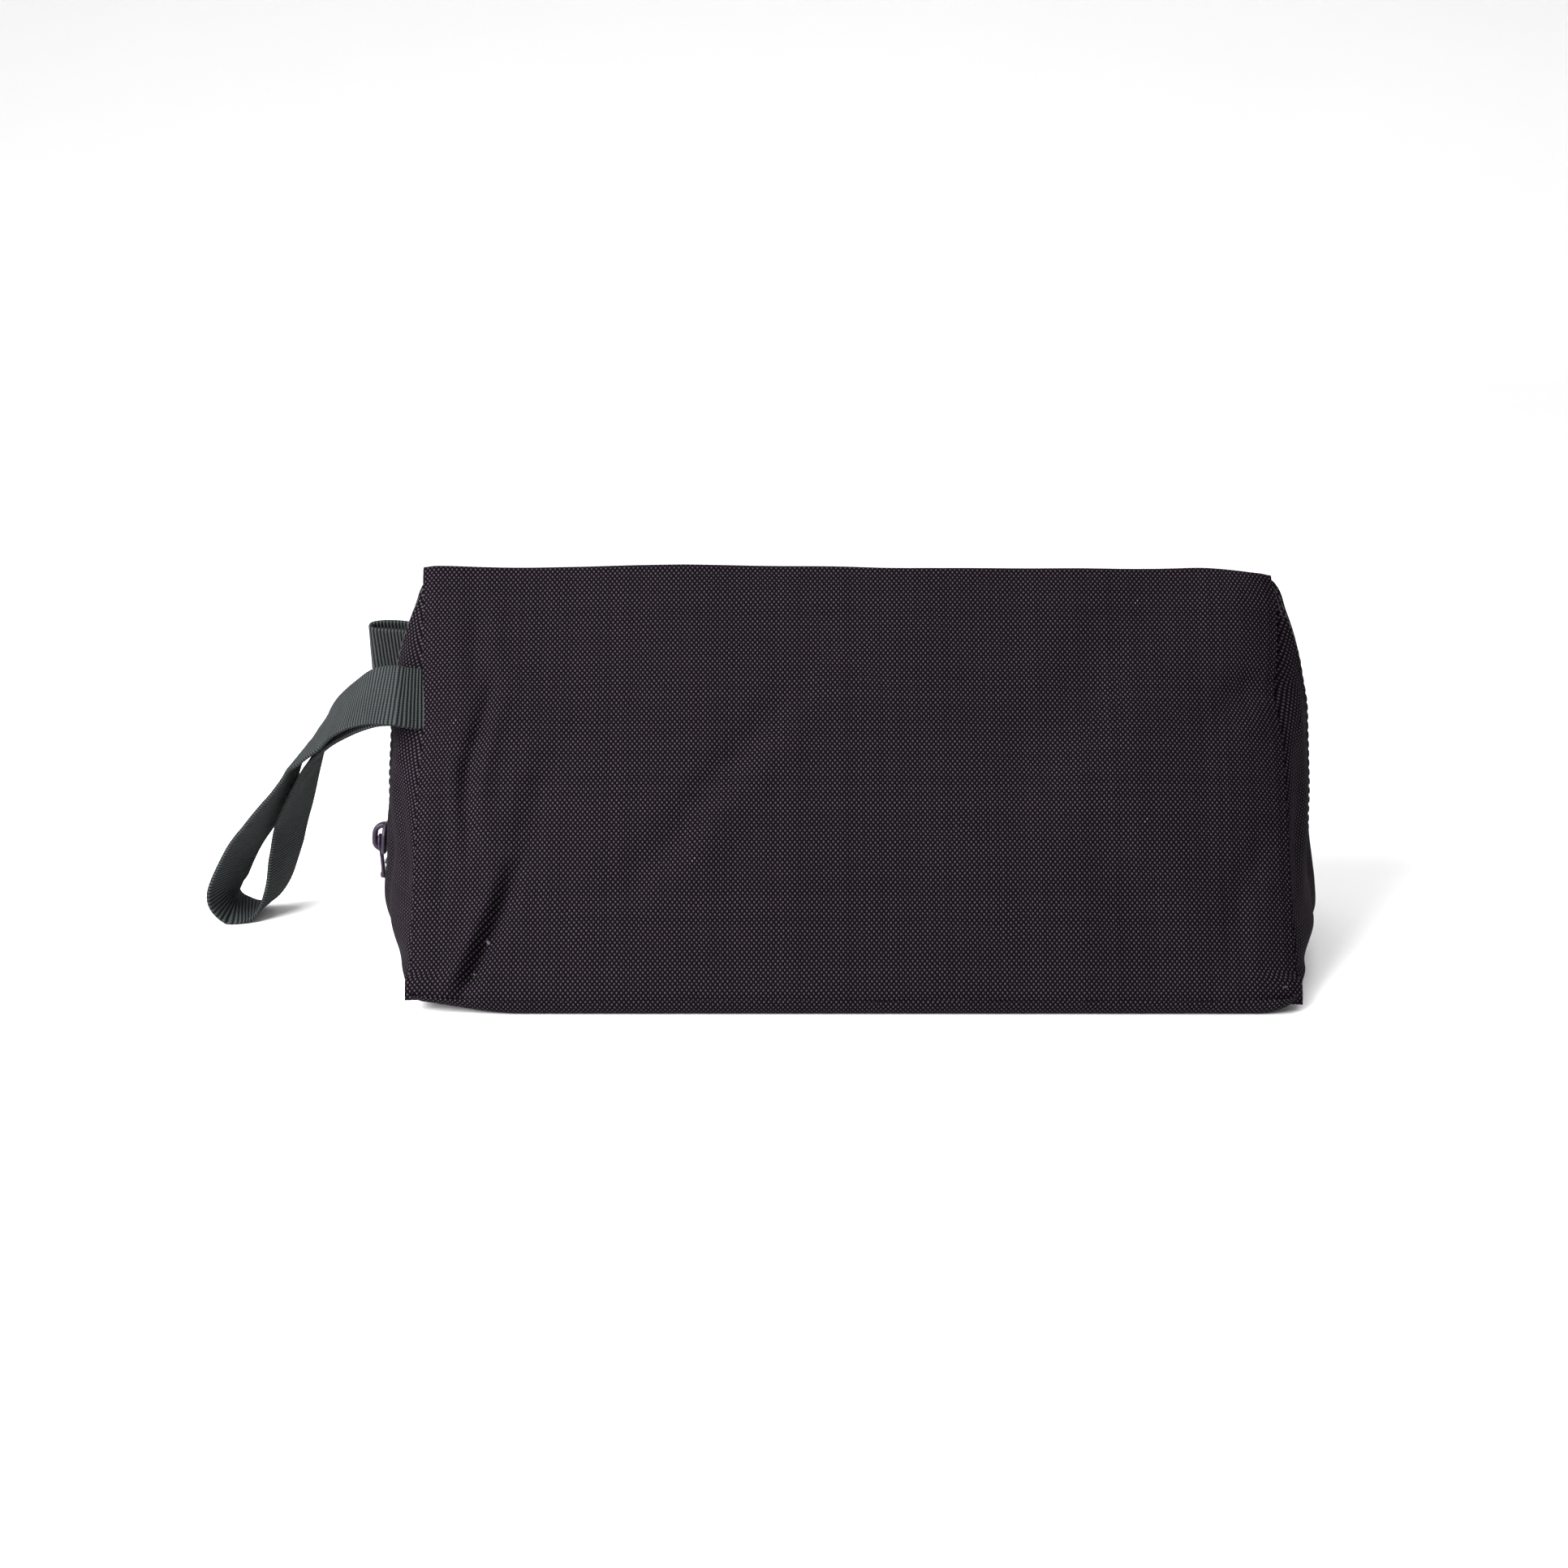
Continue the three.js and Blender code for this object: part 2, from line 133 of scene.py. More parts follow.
class KitBagColours(bpy.types.PropertyGroup):
    """Colours of the bag's materials."""

    # Warp and weft colours: partly the yarns' own colours, partly a painted highlight on the warp's crowns.
    warp: tint("Warp", "Threads that stand highest in the shell", (0.0480, 0.0362, 0.0495))
    weft: tint("Weft", "Crossing threads of the shell", (0.0028, 0.0019, 0.0029))
    # Painted shade: the near-black colour of the gaps between the shell's threads.
    gap_shade: tint("Ground", "Gaps between the shell's threads", (0.0003, 0.0002, 0.0003))
    # Colour of the rib tops; the webbing between the ribs is darkened from it as painted shade.
    webbing: tint("Webbing", "Tops of the webbing's ribs", (0.0340, 0.0385, 0.0395))
    metal: tint("Slider enamel", "Enamel of the slider and its puller", (0.016, 0.009, 0.021))


def sizes():
    return bpy.context.scene.kit_bag_sizes


def colours():
    return bpy.context.scene.kit_bag_colours


# ---- shader and node building


def math_method(operation):
    return lambda value, *others: maths(value.tree, operation, value, *others)


class Val:
    """One output socket; arithmetic on it adds Math nodes to its tree."""

    def __init__(self, tree, out):
        self.tree, self.out = tree, out

    __add__ = math_method("ADD")
    __sub__ = math_method("SUBTRACT")
    __mul__ = math_method("MULTIPLY")
    __truediv__ = math_method("DIVIDE")
    __pow__ = math_method("POWER")
    sin = math_method("SINE")
    floor = math_method("FLOOR")
    abs = math_method("ABSOLUTE")
    top = math_method("MAXIMUM")
    low = math_method("MINIMUM")
    step = math_method("GREATER_THAN")

    def __rsub__(self, other):
        return maths(self.tree, "SUBTRACT", other, self)


def plug(tree, socket, value):
    if isinstance(value, Val):
        tree.links.new(value.out, socket)
    else:
        socket.default_value = value


def maths(tree, operation, *values):
    node = tree.nodes.new("ShaderNodeMath")
    node.operation = operation
    for socket, value in zip(node.inputs, values):
        plug(tree, socket, value)
    return Val(tree, node.outputs[0])


def add_node(tree, kind, settings=None, inputs=None, out=0):
    """Adds a node: settings are its own properties, inputs the values or links of its sockets."""
    node = tree.nodes.new(kind)
    for key, value in (settings or {}).items():
        setattr(node, key, value)
    for key, value in (inputs or {}).items():
        plug(tree, node.inputs[key], value)
    return Val(tree, node.outputs[out])


def mix_colour(tree, factor, a, b):
    a, b = [value if isinstance(value, Val) else (*value, 1.0) for value in (a, b)]
    return add_node(tree, "ShaderNodeMix", {"data_type": "RGBA"}, {0: factor, 6: a, 7: b}, out=2)


class Finish:
    """One material: its tree, its thread coordinates and its closing Principled shader."""

    def __init__(self, name):
        self.material = bpy.data.materials.new(name)
        self.material.use_nodes = True
        self.tree = self.material.node_tree
        self.tree.nodes.clear()

    def node(self, kind, settings=None, inputs=None, out=0):
        return add_node(self.tree, kind, settings, inputs, out)

    def threads(self):
        """Metres across and along the cloth, from the piece's own UV map."""
        uv = self.node("ShaderNodeUVMap", {"uv_map": "threads"})
        split = self.tree.nodes.new("ShaderNodeSeparateXYZ")
        plug(self.tree, split.inputs[0], uv)
        return uv, Val(self.tree, split.outputs[0]), Val(self.tree, split.outputs[1])

    def object_place(self):
        return self.node("ShaderNodeTexCoord", out=3)

    def noise(self, where, scale, detail=2.0, rough=0.5):
        return self.node(
            "ShaderNodeTexNoise", {"noise_dimensions": "3D"},
            {"Vector": where, "Scale": scale, "Detail": detail, "Roughness": rough},
        )

    def scaled(self, colour, factor):
        return self.node("ShaderNodeVectorMath", {"operation": "SCALE"}, {0: colour, 3: factor})

    def random(self, number):
        return self.node("ShaderNodeTexWhiteNoise", {"noise_dimensions": "1D"}, {"W": number})

    def bump(self, height, distance, strength=1.0):
        inputs = {"Height": height, "Distance": distance, "Strength": strength}
        return self.node("ShaderNodeBump", None, inputs)

    def close(self, colour, roughness, normal=None, **constants):
        inputs = {"Base Color": colour, "Roughness": roughness}
        if normal is not None:
            inputs["Normal"] = normal
        inputs.update({key.replace("_", " "): value for key, value in constants.items()})
        shader = self.node("ShaderNodeBsdfPrincipled", None, inputs)
        output = self.tree.nodes.new("ShaderNodeOutputMaterial")
        self.tree.links.new(shader.out, output.inputs["Surface"])
        return self.material


def plain_weave(name, warp, weft, gap_shade):
    """Plain weave: staggered thread tops over darker crossing threads, with uneven yarn. The light crowns
    are partly painted highlight, and the near-black gaps between threads are painted shade.
    """
    cloth = Finish(name)
    uv, u, v = cloth.threads()
    drift = cloth.noise(uv, 55.0, 2.0) - 0.5
    a = u / (WARP_PITCH * MM) + drift * 1.6
    b = v / (WEFT_PITCH * MM) + drift * 1.3
    lattice = (a * math.pi).sin() * (b * math.pi).sin()
    warp_tops = lattice.top(0.0) ** 1.15
    weft_tops = (lattice * -1.0).top(0.0) ** 0.85
    yarn_a = cloth.random(a.floor())
    yarn_b = cloth.random(b.floor() + 77.0)
    slub = cloth.noise(uv, 900.0, 3.0, 0.7)
    uneven = yarn_a * 0.22 + yarn_b * 0.16 + slub * 0.9 + 0.36
    # Painted shade in the gaps, lifted to the crossing threads and then to the warp's crowns, whose
    # lightness is partly painted highlight.
    colour = mix_colour(cloth.tree, weft_tops, gap_shade, weft)
    colour = mix_colour(cloth.tree, (warp_tops * uneven).low(1.0), colour, warp)
    broad = cloth.noise(uv, 14.0, 3.0, 0.6) - 0.5
    fine = cloth.noise(uv, 190.0, 2.0) - 0.5
    tinted = cloth.scaled(colour, broad * 0.2 + fine * 0.22 + 1.0)
    column = (u / (WARP_PITCH * 2 * MM)).floor()
    row = (v / (WEFT_PITCH * 2 * MM)).floor()
    cell = cloth.node("ShaderNodeCombineXYZ", None, {"X": column, "Y": row})
    chance = cloth.node("ShaderNodeTexWhiteNoise", {"noise_dimensions": "2D"}, {"Vector": cell})
    lint = chance.step(0.9997) * lattice.step(0.8)
    tinted = mix_colour(cloth.tree, lint, tinted, (0.16, 0.15, 0.16))
    height = warp_tops + weft_tops * 0.7 + slub * 0.35
    normal = cloth.bump(height, WEAVE_RELIEF * MM)
    return cloth.close(tinted, slub * 0.2 + 0.7, normal, Specular_IOR_Level=0.02)


def ribbed_webbing(name, top):
    """Webbing: ribs across the strip with fine lengthwise yarns between smoother edges, with painted shade
    between the ribs and yarns.
    """
    strip = Finish(name)
    uv, u, v = strip.threads()
    drift = strip.noise(uv, 130.0, 2.0) - 0.5
    rib = ((v / (RIB_PITCH * MM) + drift * 0.3) * math.pi).sin().abs() ** 1.5
    yarn = ((u / 0.00078 + drift * 0.4) * math.pi).sin().abs()
    slub = strip.noise(uv, 1300.0, 3.0, 0.65)
    crown = (rib * 0.7 + rib * yarn * 0.6).low(1.0)
    uneven = (slub * 0.9 + 0.55) * crown
    # Painted shade: between the ribs and yarns the colour drops to 3% of the rib tops'.
    rib_valley_shade = tuple(c * 0.03 for c in top)
    colour = mix_colour(strip.tree, uneven.low(1.0), rib_valley_shade, top)
    patches = strip.noise(uv, 60.0, 2.0) * 0.24 + 0.88
    tinted = strip.scaled(colour, patches)
    normal = strip.bump(rib + yarn * 0.35 + slub * 0.3, 0.00022)
    return strip.close(tinted, slub * 0.15 + 0.725, normal, Specular_IOR_Level=0.06)


def coated_lining(name):
    """Thin coated cloth with a very fine weave under soft crumples."""
    lining = Finish(name)
    uv, u, v = lining.threads()
    lattice = ((u / 0.0004) * math.pi).sin() * ((v / 0.0004) * math.pi).sin()
    crumple = lining.noise(uv, 45.0, 4.0, 0.6)
    colour = mix_colour(lining.tree, lattice.abs(), (0.020, 0.020, 0.023), (0.042, 0.042, 0.048))
    tinted = lining.scaled(colour, crumple * 0.5 + 0.75)
    normal = lining.bump(crumple + lattice.abs() * 0.05, 0.0009, 0.7)
    return lining.close(tinted, crumple * 0.2 + 0.42, normal, Specular_IOR_Level=0.45)


def zip_tape_weave(name):
    """Tape with fine slanting ribs."""
    tape = Finish(name)
    uv, u, v = tape.threads()
    slant = ((u / 0.0007 + v / 0.0011) * math.pi).sin().abs()
    slub = tape.noise(uv, 1500.0, 2.0)
    colour = mix_colour(tape.tree, slant * (slub * 0.6 + 0.6), (0.010, 0.008, 0.011), (0.052, 0.042, 0.055))
    normal = tape.bump(slant + slub * 0.3, 0.00012)
    return tape.close(colour, 0.8, normal, Specular_IOR_Level=0.06)


def nylon_coil(name):
    """Smooth, slightly shiny nylon."""
    coil = Finish(name)
    place = coil.object_place()
    grain = coil.noise(place, 2200.0, 2.0)
    colour = mix_colour(coil.tree, grain, (0.030, 0.024, 0.033), (0.055, 0.045, 0.060))
    return coil.close(colour, grain * 0.2 + 0.32, coil.bump(grain, 0.00003), Specular_IOR_Level=0.5)


def enamel(name, colour):
    """Painted die-cast metal with a faint orange peel and worn, lighter scuffs."""
    paint = Finish(name)
    place = paint.object_place()
    peel = paint.noise(place, 900.0, 2.0)
    scuff = paint.noise(place, 2600.0, 4.0, 0.75)
    worn = ((scuff - 0.6) * 6.0).top(0.0).low(1.0)
    light = tuple(c * 2.2 + 0.012 for c in colour)
    tinted = mix_colour(paint.tree, worn * 0.5, colour, light)
    normal = paint.bump(peel + scuff * 0.3, 0.00003)
    return paint.close(tinted, worn * 0.2 + 0.42, normal, Metallic=0.1, Specular_IOR_Level=0.22)


def sewing_thread(name, colour):
    """Twisted thread, mottled around its colour."""
    thread = Finish(name)
    place = thread.object_place()
    twist = thread.noise(place, 2600.0, 2.0)
    tinted = mix_colour(thread.tree, twist, tuple(c * 0.6 for c in colour), tuple(c * 1.5 for c in colour))
    return thread.close(tinted, 0.62, thread.bump(twist, 0.00005), Sheen_Weight=0.1)


def studio_floor(name):
    """Matt, nearly white board."""
    board = Finish(name)
    place = board.object_place()
    cloud = board.noise(place, 3.0, 2.0)
    colour = mix_colour(board.tree, cloud, (0.90, 0.90, 0.90), (0.93, 0.93, 0.93))
    return board.close(colour, cloud * 0.1 + 0.55, Specular_IOR_Level=0.2)


MATERIALS = {}


def finish(slot):
    """The one material of a finish, made when it is first asked for."""
    if slot not in MATERIALS:
        c = colours()
        makers = {
            "shell_fabric": (plain_weave, c.warp[:], c.weft[:], c.gap_shade[:]),
            "webbing": (ribbed_webbing, c.webbing[:]),
            "lining_fabric": (coated_lining,),
            "zip_tape": (zip_tape_weave,),
            "zip_coil": (nylon_coil,),
            "zip_metal": (enamel, c.metal[:]),
            "thread": (sewing_thread, c.weft[:]),
            "floor": (studio_floor,),
        }
        maker, *colour = makers[slot]
        MATERIALS[slot] = maker(slot, *colour)
    return MATERIALS[slot]


# ---- mesh building


def piece(name, points, faces, slot, uvs=None):
    """A mesh object from millimetre points; uvs holds one pair in metres for each point."""
    mesh = bpy.data.meshes.new(name)
    mesh.from_pydata((np.asarray(points, float) * MM).tolist(), [], [list(map(int, f)) for f in faces])
    mesh.validate()
    if uvs is not None:
        layer = mesh.uv_layers.new(name="threads")
        corners = np.zeros(len(mesh.loops), np.int32)
        mesh.loops.foreach_get("vertex_index", corners)
        layer.data.foreach_set("uv", np.asarray(uvs, np.float32)[corners].ravel())
    mesh.polygons.foreach_set("use_smooth", [True] * len(mesh.polygons))
    mesh.materials.append(finish(slot))
    obj = bpy.data.objects.new(name, mesh)
    bpy.context.scene.collection.objects.link(obj)
    return obj


def closed_sheet(name, grid, across, along, wall, outward, slot):
    """Closed cloth from a rows x columns grid of outer points. wall is its thickness, outward a rough
    direction of its outer face, across and along its thread coordinates in metres."""
    rows, cols = grid.shape[:2]
    du = np.gradient(grid, axis=1)
    dv = np.gradient(grid, axis=0)
    normal = np.cross(du, dv)
    normal /= np.maximum(np.linalg.norm(normal, axis=2, keepdims=True), 1e-9)
    flip = (normal * np.asarray(outward, float)).sum() < 0
    if flip:
        normal = -normal
    inner = grid - normal * wall
    points = np.concatenate([grid.reshape(-1, 3), inner.reshape(-1, 3)])
    count = rows * cols
    r, c = np.meshgrid(np.arange(rows - 1), np.arange(cols - 1), indexing="ij")
    a = (r * cols + c).ravel()
    quads = np.stack([a, a + 1, a + cols + 1, a + cols], 1)
    if flip:
        quads = quads[:, ::-1]
    faces = [quads, quads[:, ::-1] + count]
    rim = (
        list(range(cols))
        + [k * cols + cols - 1 for k in range(1, rows)]
        + [(rows - 1) * cols + k for k in range(cols - 2, -1, -1)]
        + [k * cols for k in range(rows - 2, 0, -1)]
    )
    rim = np.array(rim)
    nxt = np.roll(rim, -1)
    edge = np.stack([rim, rim + count, nxt + count, nxt], 1)
    if flip:
        edge = edge[:, ::-1]
    faces.append(edge)
    uvs = np.stack([across.ravel(), along.ravel()], 1)
    return piece(name, points, np.concatenate(faces), slot, np.concatenate([uvs, uvs]))


def spread(low, high, count, edge=0.0):
    """count values from low to high, closer together near both ends when edge is above 0."""
    t = np.linspace(0.0, 1.0, count)
    return low + (high - low) * (t - edge * np.sin(2 * math.pi * t) / (2 * math.pi))


def smooth(t):
    t = np.clip(t, 0.0, 1.0)
    return t * t * (3 - 2 * t)


def bell(d, width):
    return np.exp(-((d / width) ** 2))


def cloud(x, y, z, scale, seed):
    """Smooth noise in -1..1 over arrays, scale in millimetres."""
    shape = np.broadcast(x, y, z).shape
    flat = [np.broadcast_to(v, shape).ravel() / scale for v in (x, y, z)]
    shift = seed * 13.7
    values = [noise.noise(Vector((a + shift, b - shift, c + shift))) for a, b, c in zip(*flat)]
    return np.array(values).reshape(shape)


def directions(line):
    """Unit vectors along a line of points."""
    along = np.gradient(line, axis=0)
    return along / np.linalg.norm(along, axis=1, keepdims=True)


def run_of(line):
    """Distance along a line of points, from its start to each point."""
    return np.concatenate([[0], np.cumsum(np.linalg.norm(np.diff(line, axis=0), axis=1))])


def from_line(x, z, line):
    """Distance to a polyline, side (+ to its left when walked) and share along it, over arrays."""
    best = np.full(np.shape(x), 1e9)
    side = np.zeros_like(best)
    share = np.zeros_like(best)
    lengths = [math.dist(p, q) for p, q in zip(line, line[1:])]
    total, start = sum(lengths), 0.0
    for (p, q), length in zip(zip(line, line[1:]), lengths):
        dx, dz = (q[0] - p[0]) / length, (q[1] - p[1]) / length
        t = np.clip((x - p[0]) * dx + (z - p[1]) * dz, 0, length)
        ex, ez = x - p[0] - dx * t, z - p[1] - dz * t
        d = np.hypot(ex, ez)
        closer = d < best
        best = np.where(closer, d, best)
        side = np.where(closer, np.sign(dx * ez - dz * ex), side)
        share = np.where(closer, (start + t) / total, share)
        start += length
    return best, side, share


def creases(x, z, folds):
    """Sum of folds: each is a polyline, depth of its valley, its width and the height of the ridge beside
    it (positive on the left of the line as it is walked)."""
    total = np.zeros(np.shape(x))
    for line, depth, width, ridge in folds:
        d, side, share = from_line(x, z, line)
        fade = np.clip(np.sin(math.pi * np.clip(share * 0.86 + 0.07, 0, 1)), 0, 1) ** 0.7
        signed = d * side
        beside = signed - math.copysign(1.5 * width, ridge)
        total += fade * (abs(ridge) * bell(beside, 1.15 * width) - depth * bell(d, width))
    return total * sizes().crease_depth


# ---- shape of the bag, millimetres


def half_depth(z):
    return HALF_RIDGE + SLOPE * (HEIGHT - z)


def hem_height(x, side):
    """Height of the seam between a panel and the base; the base's corners turn up into soft ears."""
    left = 1.3 if side == FRONT else 0.9
    right = 0.4 if side == FRONT else 1.2
    return HEM + 0.4 + left * smooth((-x - 108) / 22) + right * smooth((x - 112) / 18)


def floor_lift(x, y):
    """How far the base's corners curl up off the floor."""
    front_left = 4.4 * smooth((-x - 96) / 36) ** 1.2 * smooth((-y - 26) / 38)
    front_right = 3.3 * smooth((x - 119) / 12) * smooth((-y - 50) / 18)
    back_left = 2.6 * smooth((-x - 110) / 22) * smooth((y - 44) / 24)
    back_right = 3.4 * smooth((x - 104) / 28) ** 1.2 * smooth((y - 34) / 34)
    return front_left + front_right + back_left + back_right


TOP_FRONT = (
    (-130, 121.6), (-116, 121.1), (-100, 120.9), (-69, 121.3), (-46, 121.3), (-5, 120.9),
    (13, 120.4), (86, 120.2), (110, 120.6), (118, 119.4), (130, 119.2),
)
TOP_BACK = (
    (-130, 116.2), (-95, 117.3), (-50, 116.7), (0, 116.3), (55, 117.0), (100, 117.4), (130, 116.2)
)


def top_height(x, side):
    """Height of a panel's folded top edge, a softened line through its knots."""
    knots = TOP_FRONT if side == FRONT else TOP_BACK
    fine = np.linspace(-130, 130, 261)
    raw = np.interp(fine, [k[0] for k in knots], [k[1] for k in knots])
    soft = np.convolve(np.pad(raw, 7, mode="edge"), np.ones(15) / 15, mode="valid")
    return np.interp(x, fine, soft)


# Each fold: the (x, z) line it follows, the depth of its valley, its width and the ridge beside it.
FRONT_FOLDS = (
    (((-99, 39), (-103, 29), (-108, 19), (-113, 9), (-117.5, -1)), 3.4, 2.8, -1.7),
    (((-87, 72), (-93, 59), (-97.5, 46), (-101.5, 33)), 0.9, 4.6, -0.7),
    (((-107.5, 90), (-110.7, 79), (-114.2, 67), (-114.8, 57), (-113.6, 46)), 2.5, 2.9, 1.0),
    (((-129, 73.5), (-124, 72.4), (-116, 71.0)), 1.4, 1.6, 0.7),
    (((-112, 112), (-113, 100), (-112, 88)), 0.7, 3.5, 0.4),
    (((-121, 62), (-120.5, 48), (-121, 30)), 0.8, 3.0, 0.5),
    (((-16, 88), (-30, 74), (-43, 61), (-52, 48), (-68, 34)), 1.5, 5.0, 0.9),
    (((92, 118), (80, 103), (68, 84), (44, 62)), 1.6, 12.0, 0.9),
    (((132, 91), (122, 88), (108, 82)), 1.9, 5.0, 0.6),
    (((70, 52), (80, 36), (84, 16)), 1.0, 10.0, 0.5),
    (((126, 50), (114, 34), (110, 14)), 1.0, 5.0, 0.6),
    (((-60, 112), (-20, 104), (10, 108)), 0.7, 7.0, 0.5),
)
BACK_FOLDS = (
    (((96, 70), (99, 44), (108, 22), (118, 0)), 2.2, 4.0, 1.3),
    (((-130, 88), (-114, 74), (-104, 54)), 1.5, 3.6, 0.9),
    (((-40, 92), (-20, 64), (6, 44), (40, 30)), 1.4, 7.0, 0.9),
    (((-80, 44), (-92, 24), (-106, 4)), 1.6, 4.6, -0.9),
    (((74, 108), (52, 84), (40, 62)), 1.0, 7.0, 0.6),
)


def panel_points(side, x, z, inset=0.0):
    """Outer face of the front or back panel over arrays x and z, inset towards the inside."""
    folds = FRONT_FOLDS if side == FRONT else BACK_FOLDS
    seed = 3 if side == FRONT else 8
    edge = HALF_LENGTH - np.abs(x)
    rise = z - hem_height(x, side)
    puff = 3.0 * (1 - (x / HALF_LENGTH) ** 4) * np.sin(math.pi * np.clip(rise / 118, 0, 1)) ** 0.8
    calm = smooth(edge / 12) * smooth(rise / 8)
    turn_in = np.where(x < 0, 1.1, 1.3 + 1.9 * smooth((117 - z) / 9)) * bell(edge, 9)
    roll = -1.5 * bell(edge, 2.4) - 0.9 * bell(rise, 2.0) - turn_in
    pucker = 0.14 * cloud(x * 0.25, 0, z, 5.5, seed) * bell(edge, 9)
    pucker += 0.2 * cloud(x, 0, z * 0.3, 6.5, seed) * bell(rise, 8)
    slack = 2.1 * cloud(x, 0, z, 58, seed) + 0.5 * cloud(x, 0, z, 21, seed + 1)
    out = puff + roll + pucker + (slack + creases(x, z, folds)) * (0.3 + 0.7 * calm) - inset
    left = 1.4 * bell(z - 80, 12) if side == FRONT else 1.0 * bell(z - 90, 14)
    right = 2.0 * bell(z - 88, 9)
    corner = np.where(x < 0, -0.6, 1.7) * smooth((z - 111) / 9)
    ear = np.where(x < 0, 1.5, 1.9) * smooth((13.5 - z) / 3) * smooth((np.abs(x) - 112) / 18)
    pinch = (np.where(x < 0, left, right) + 0.4 + corner) * smooth((np.abs(x) - 100) / 30) - ear
    px = x - np.sign(x) * pinch
    py = side * (half_depth(z) + out / LEAN)
    pz = z + out * SLOPE / LEAN
    return np.stack([px, py, pz], -1)


def side_seam(end, side):
    """Where the panel's side edge runs: heights, distances from the middle in Y and in X."""
    x = end * HALF_LENGTH
    z = np.linspace(hem_height(x, side), float(top_height(x, side)), 160)
    line = panel_points(side, np.full_like(z, x), z)
    return line[:, 2], np.abs(line[:, 1]), np.abs(line[:, 0])


def catmull(points, per_span):
    """A smooth line through points."""
    p = np.asarray(points, float)
    p = np.vstack([2 * p[0] - p[1], p, 2 * p[-1] - p[-2]])
    out = []
    for i in range(1, len(p) - 2):
        t = np.linspace(0, 1, per_span, endpoint=False)[:, None]
        a, b, c, d = p[i - 1 : i + 3]
        bend = (2 * a - 5 * b + 4 * c - d) * t**2 + (3 * b - a - 3 * c + d) * t**3
        out.append(0.5 * (2 * b + (c - a) * t + bend))
    out.append(p[-2][None])
    return np.vstack(out)


def zip_line():
    """Left half of the zip line seen from the front, from the slit's foot to the middle of the ridge."""
    foot = HALF_LENGTH + END_BULGE
    rise = ZIP_RIDGE - SLIT_STRAIGHT
    shoulder = [
        (-foot + END_LEAN, SLIT_STRAIGHT),
        (-HALF_LENGTH - 9.0, SLIT_STRAIGHT + 0.27 * rise),
        (-HALF_LENGTH - 6.3, SLIT_STRAIGHT + 0.56 * rise),
        (-HALF_LENGTH - 3.4, SLIT_STRAIGHT + 0.77 * rise),
        (-HALF_LENGTH - 0.8, SLIT_STRAIGHT + 0.93 * rise),
        (-HALF_LENGTH + 2.5, ZIP_RIDGE - 0.5),
        (-HALF_LENGTH + 8, ZIP_RIDGE),
    ]
    z = np.linspace(SLIT_FOOT + 0.3, SLIT_STRAIGHT, 30)[:-1]
    straight = np.stack([-foot + END_LEAN * (z - SLIT_FOOT) / (SLIT_STRAIGHT - SLIT_FOOT), z], 1)
    ridge = np.stack([np.linspace(-HALF_LENGTH + 8, 0, 60)[1:], np.full(59, ZIP_RIDGE)], 1)
    return np.vstack([straight, catmull(shoulder, 8), ridge])


ZIP_LEFT = zip_line()
ZIP = np.vstack([ZIP_LEFT, (ZIP_LEFT * (-1, 1))[::-1][1:]])


def zip_x(z):
    """How far out the zip line is at height z, as a positive distance from the middle."""
    rising = ZIP_LEFT[: np.argmax(ZIP_LEFT[:, 1] >= ZIP_RIDGE - 0.01) + 1]
    out = -np.interp(z, rising[:, 1], rising[:, 0])
    belly = np.sin(0.5 * math.pi * np.clip((z - 2.0) / (SLIT_FOOT - 2.0), 0, 1)) ** 0.62
    below = HALF_LENGTH - 1.5 + (END_BULGE + 1.5) * belly
    return np.where(z < SLIT_FOOT, below, out)


END_FOLDS = (
    (((-58, 22), (-40, 40), (-24, 60)), 1.0, 4.0, 0.8),
    (((-30, 14), (-26, 34), (-20, 52)), 0.8, 3.5, -0.6),
    (((52, 26), (34, 46), (20, 70)), 1.0, 4.5, 0.8),
    (((22, 12), (24, 30), (16, 48)), 0.7, 3.5, 0.6),
)


def slit_edge(z):
    """How far the ends' cloth stays from the middle: shut below the slit, folded back above it."""
    return 0.06 + 4.6 * smooth((z - SLIT_FOOT + 2.5) / 6.0)


def end_points(end, side, y, z, inset=0.0):
    """Outer face of one half of an end panel over arrays y and z."""
    heights, reaches, edges = side_seam(end, side)
    reach = np.interp(z, heights, reaches) - SEAM_TUCK
    edge_x = np.interp(z, heights, edges) - SEAM_TUCK
    r = np.clip(np.abs(y) / reach, 0, 1)
    belly = (zip_x(z) - edge_x) * (1 - r**2.5) ** 1.1
    seam = (1 - r) * reach
    calm = smooth(seam / 12) * smooth((np.abs(y) - 4) / 8)
    seed = 21 if end == LEFT else 34
    slack = 1.5 * cloud(0, y, z, 34, seed) + 0.5 * cloud(0, y, z, 12, seed)
    pucker = 0.22 * cloud(0, y * 0.3, z, 5.0, seed) * bell(seam, 8)
    folds = creases(-end * y, z, END_FOLDS)
    squeeze = 1.2 * bell(z - 84, 14) * r**4
    if end == LEFT:
        fullness = 1.3 * bell(z - 16, 8) - 0.9 * bell(z - 40, 14)
    else:
        fullness = 2.9 * bell(z - 14, 7.5) - 1.0 * bell(z - 36, 14)
    lip = bell(np.abs(y) - 5.6, 2.3) * smooth((z - SLIT_FOOT) / 6)
    out = belly + lip + fullness * (1 - r**6) - bell(seam, 1.8) - squeeze - inset
    out = out + (slack + folds) * calm + pucker
    return np.stack([end * (edge_x + out), y, z], -1)


# ---- operators


def hinge_half(obj):
    """Bakes the half's placement into its mesh."""
    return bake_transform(obj)


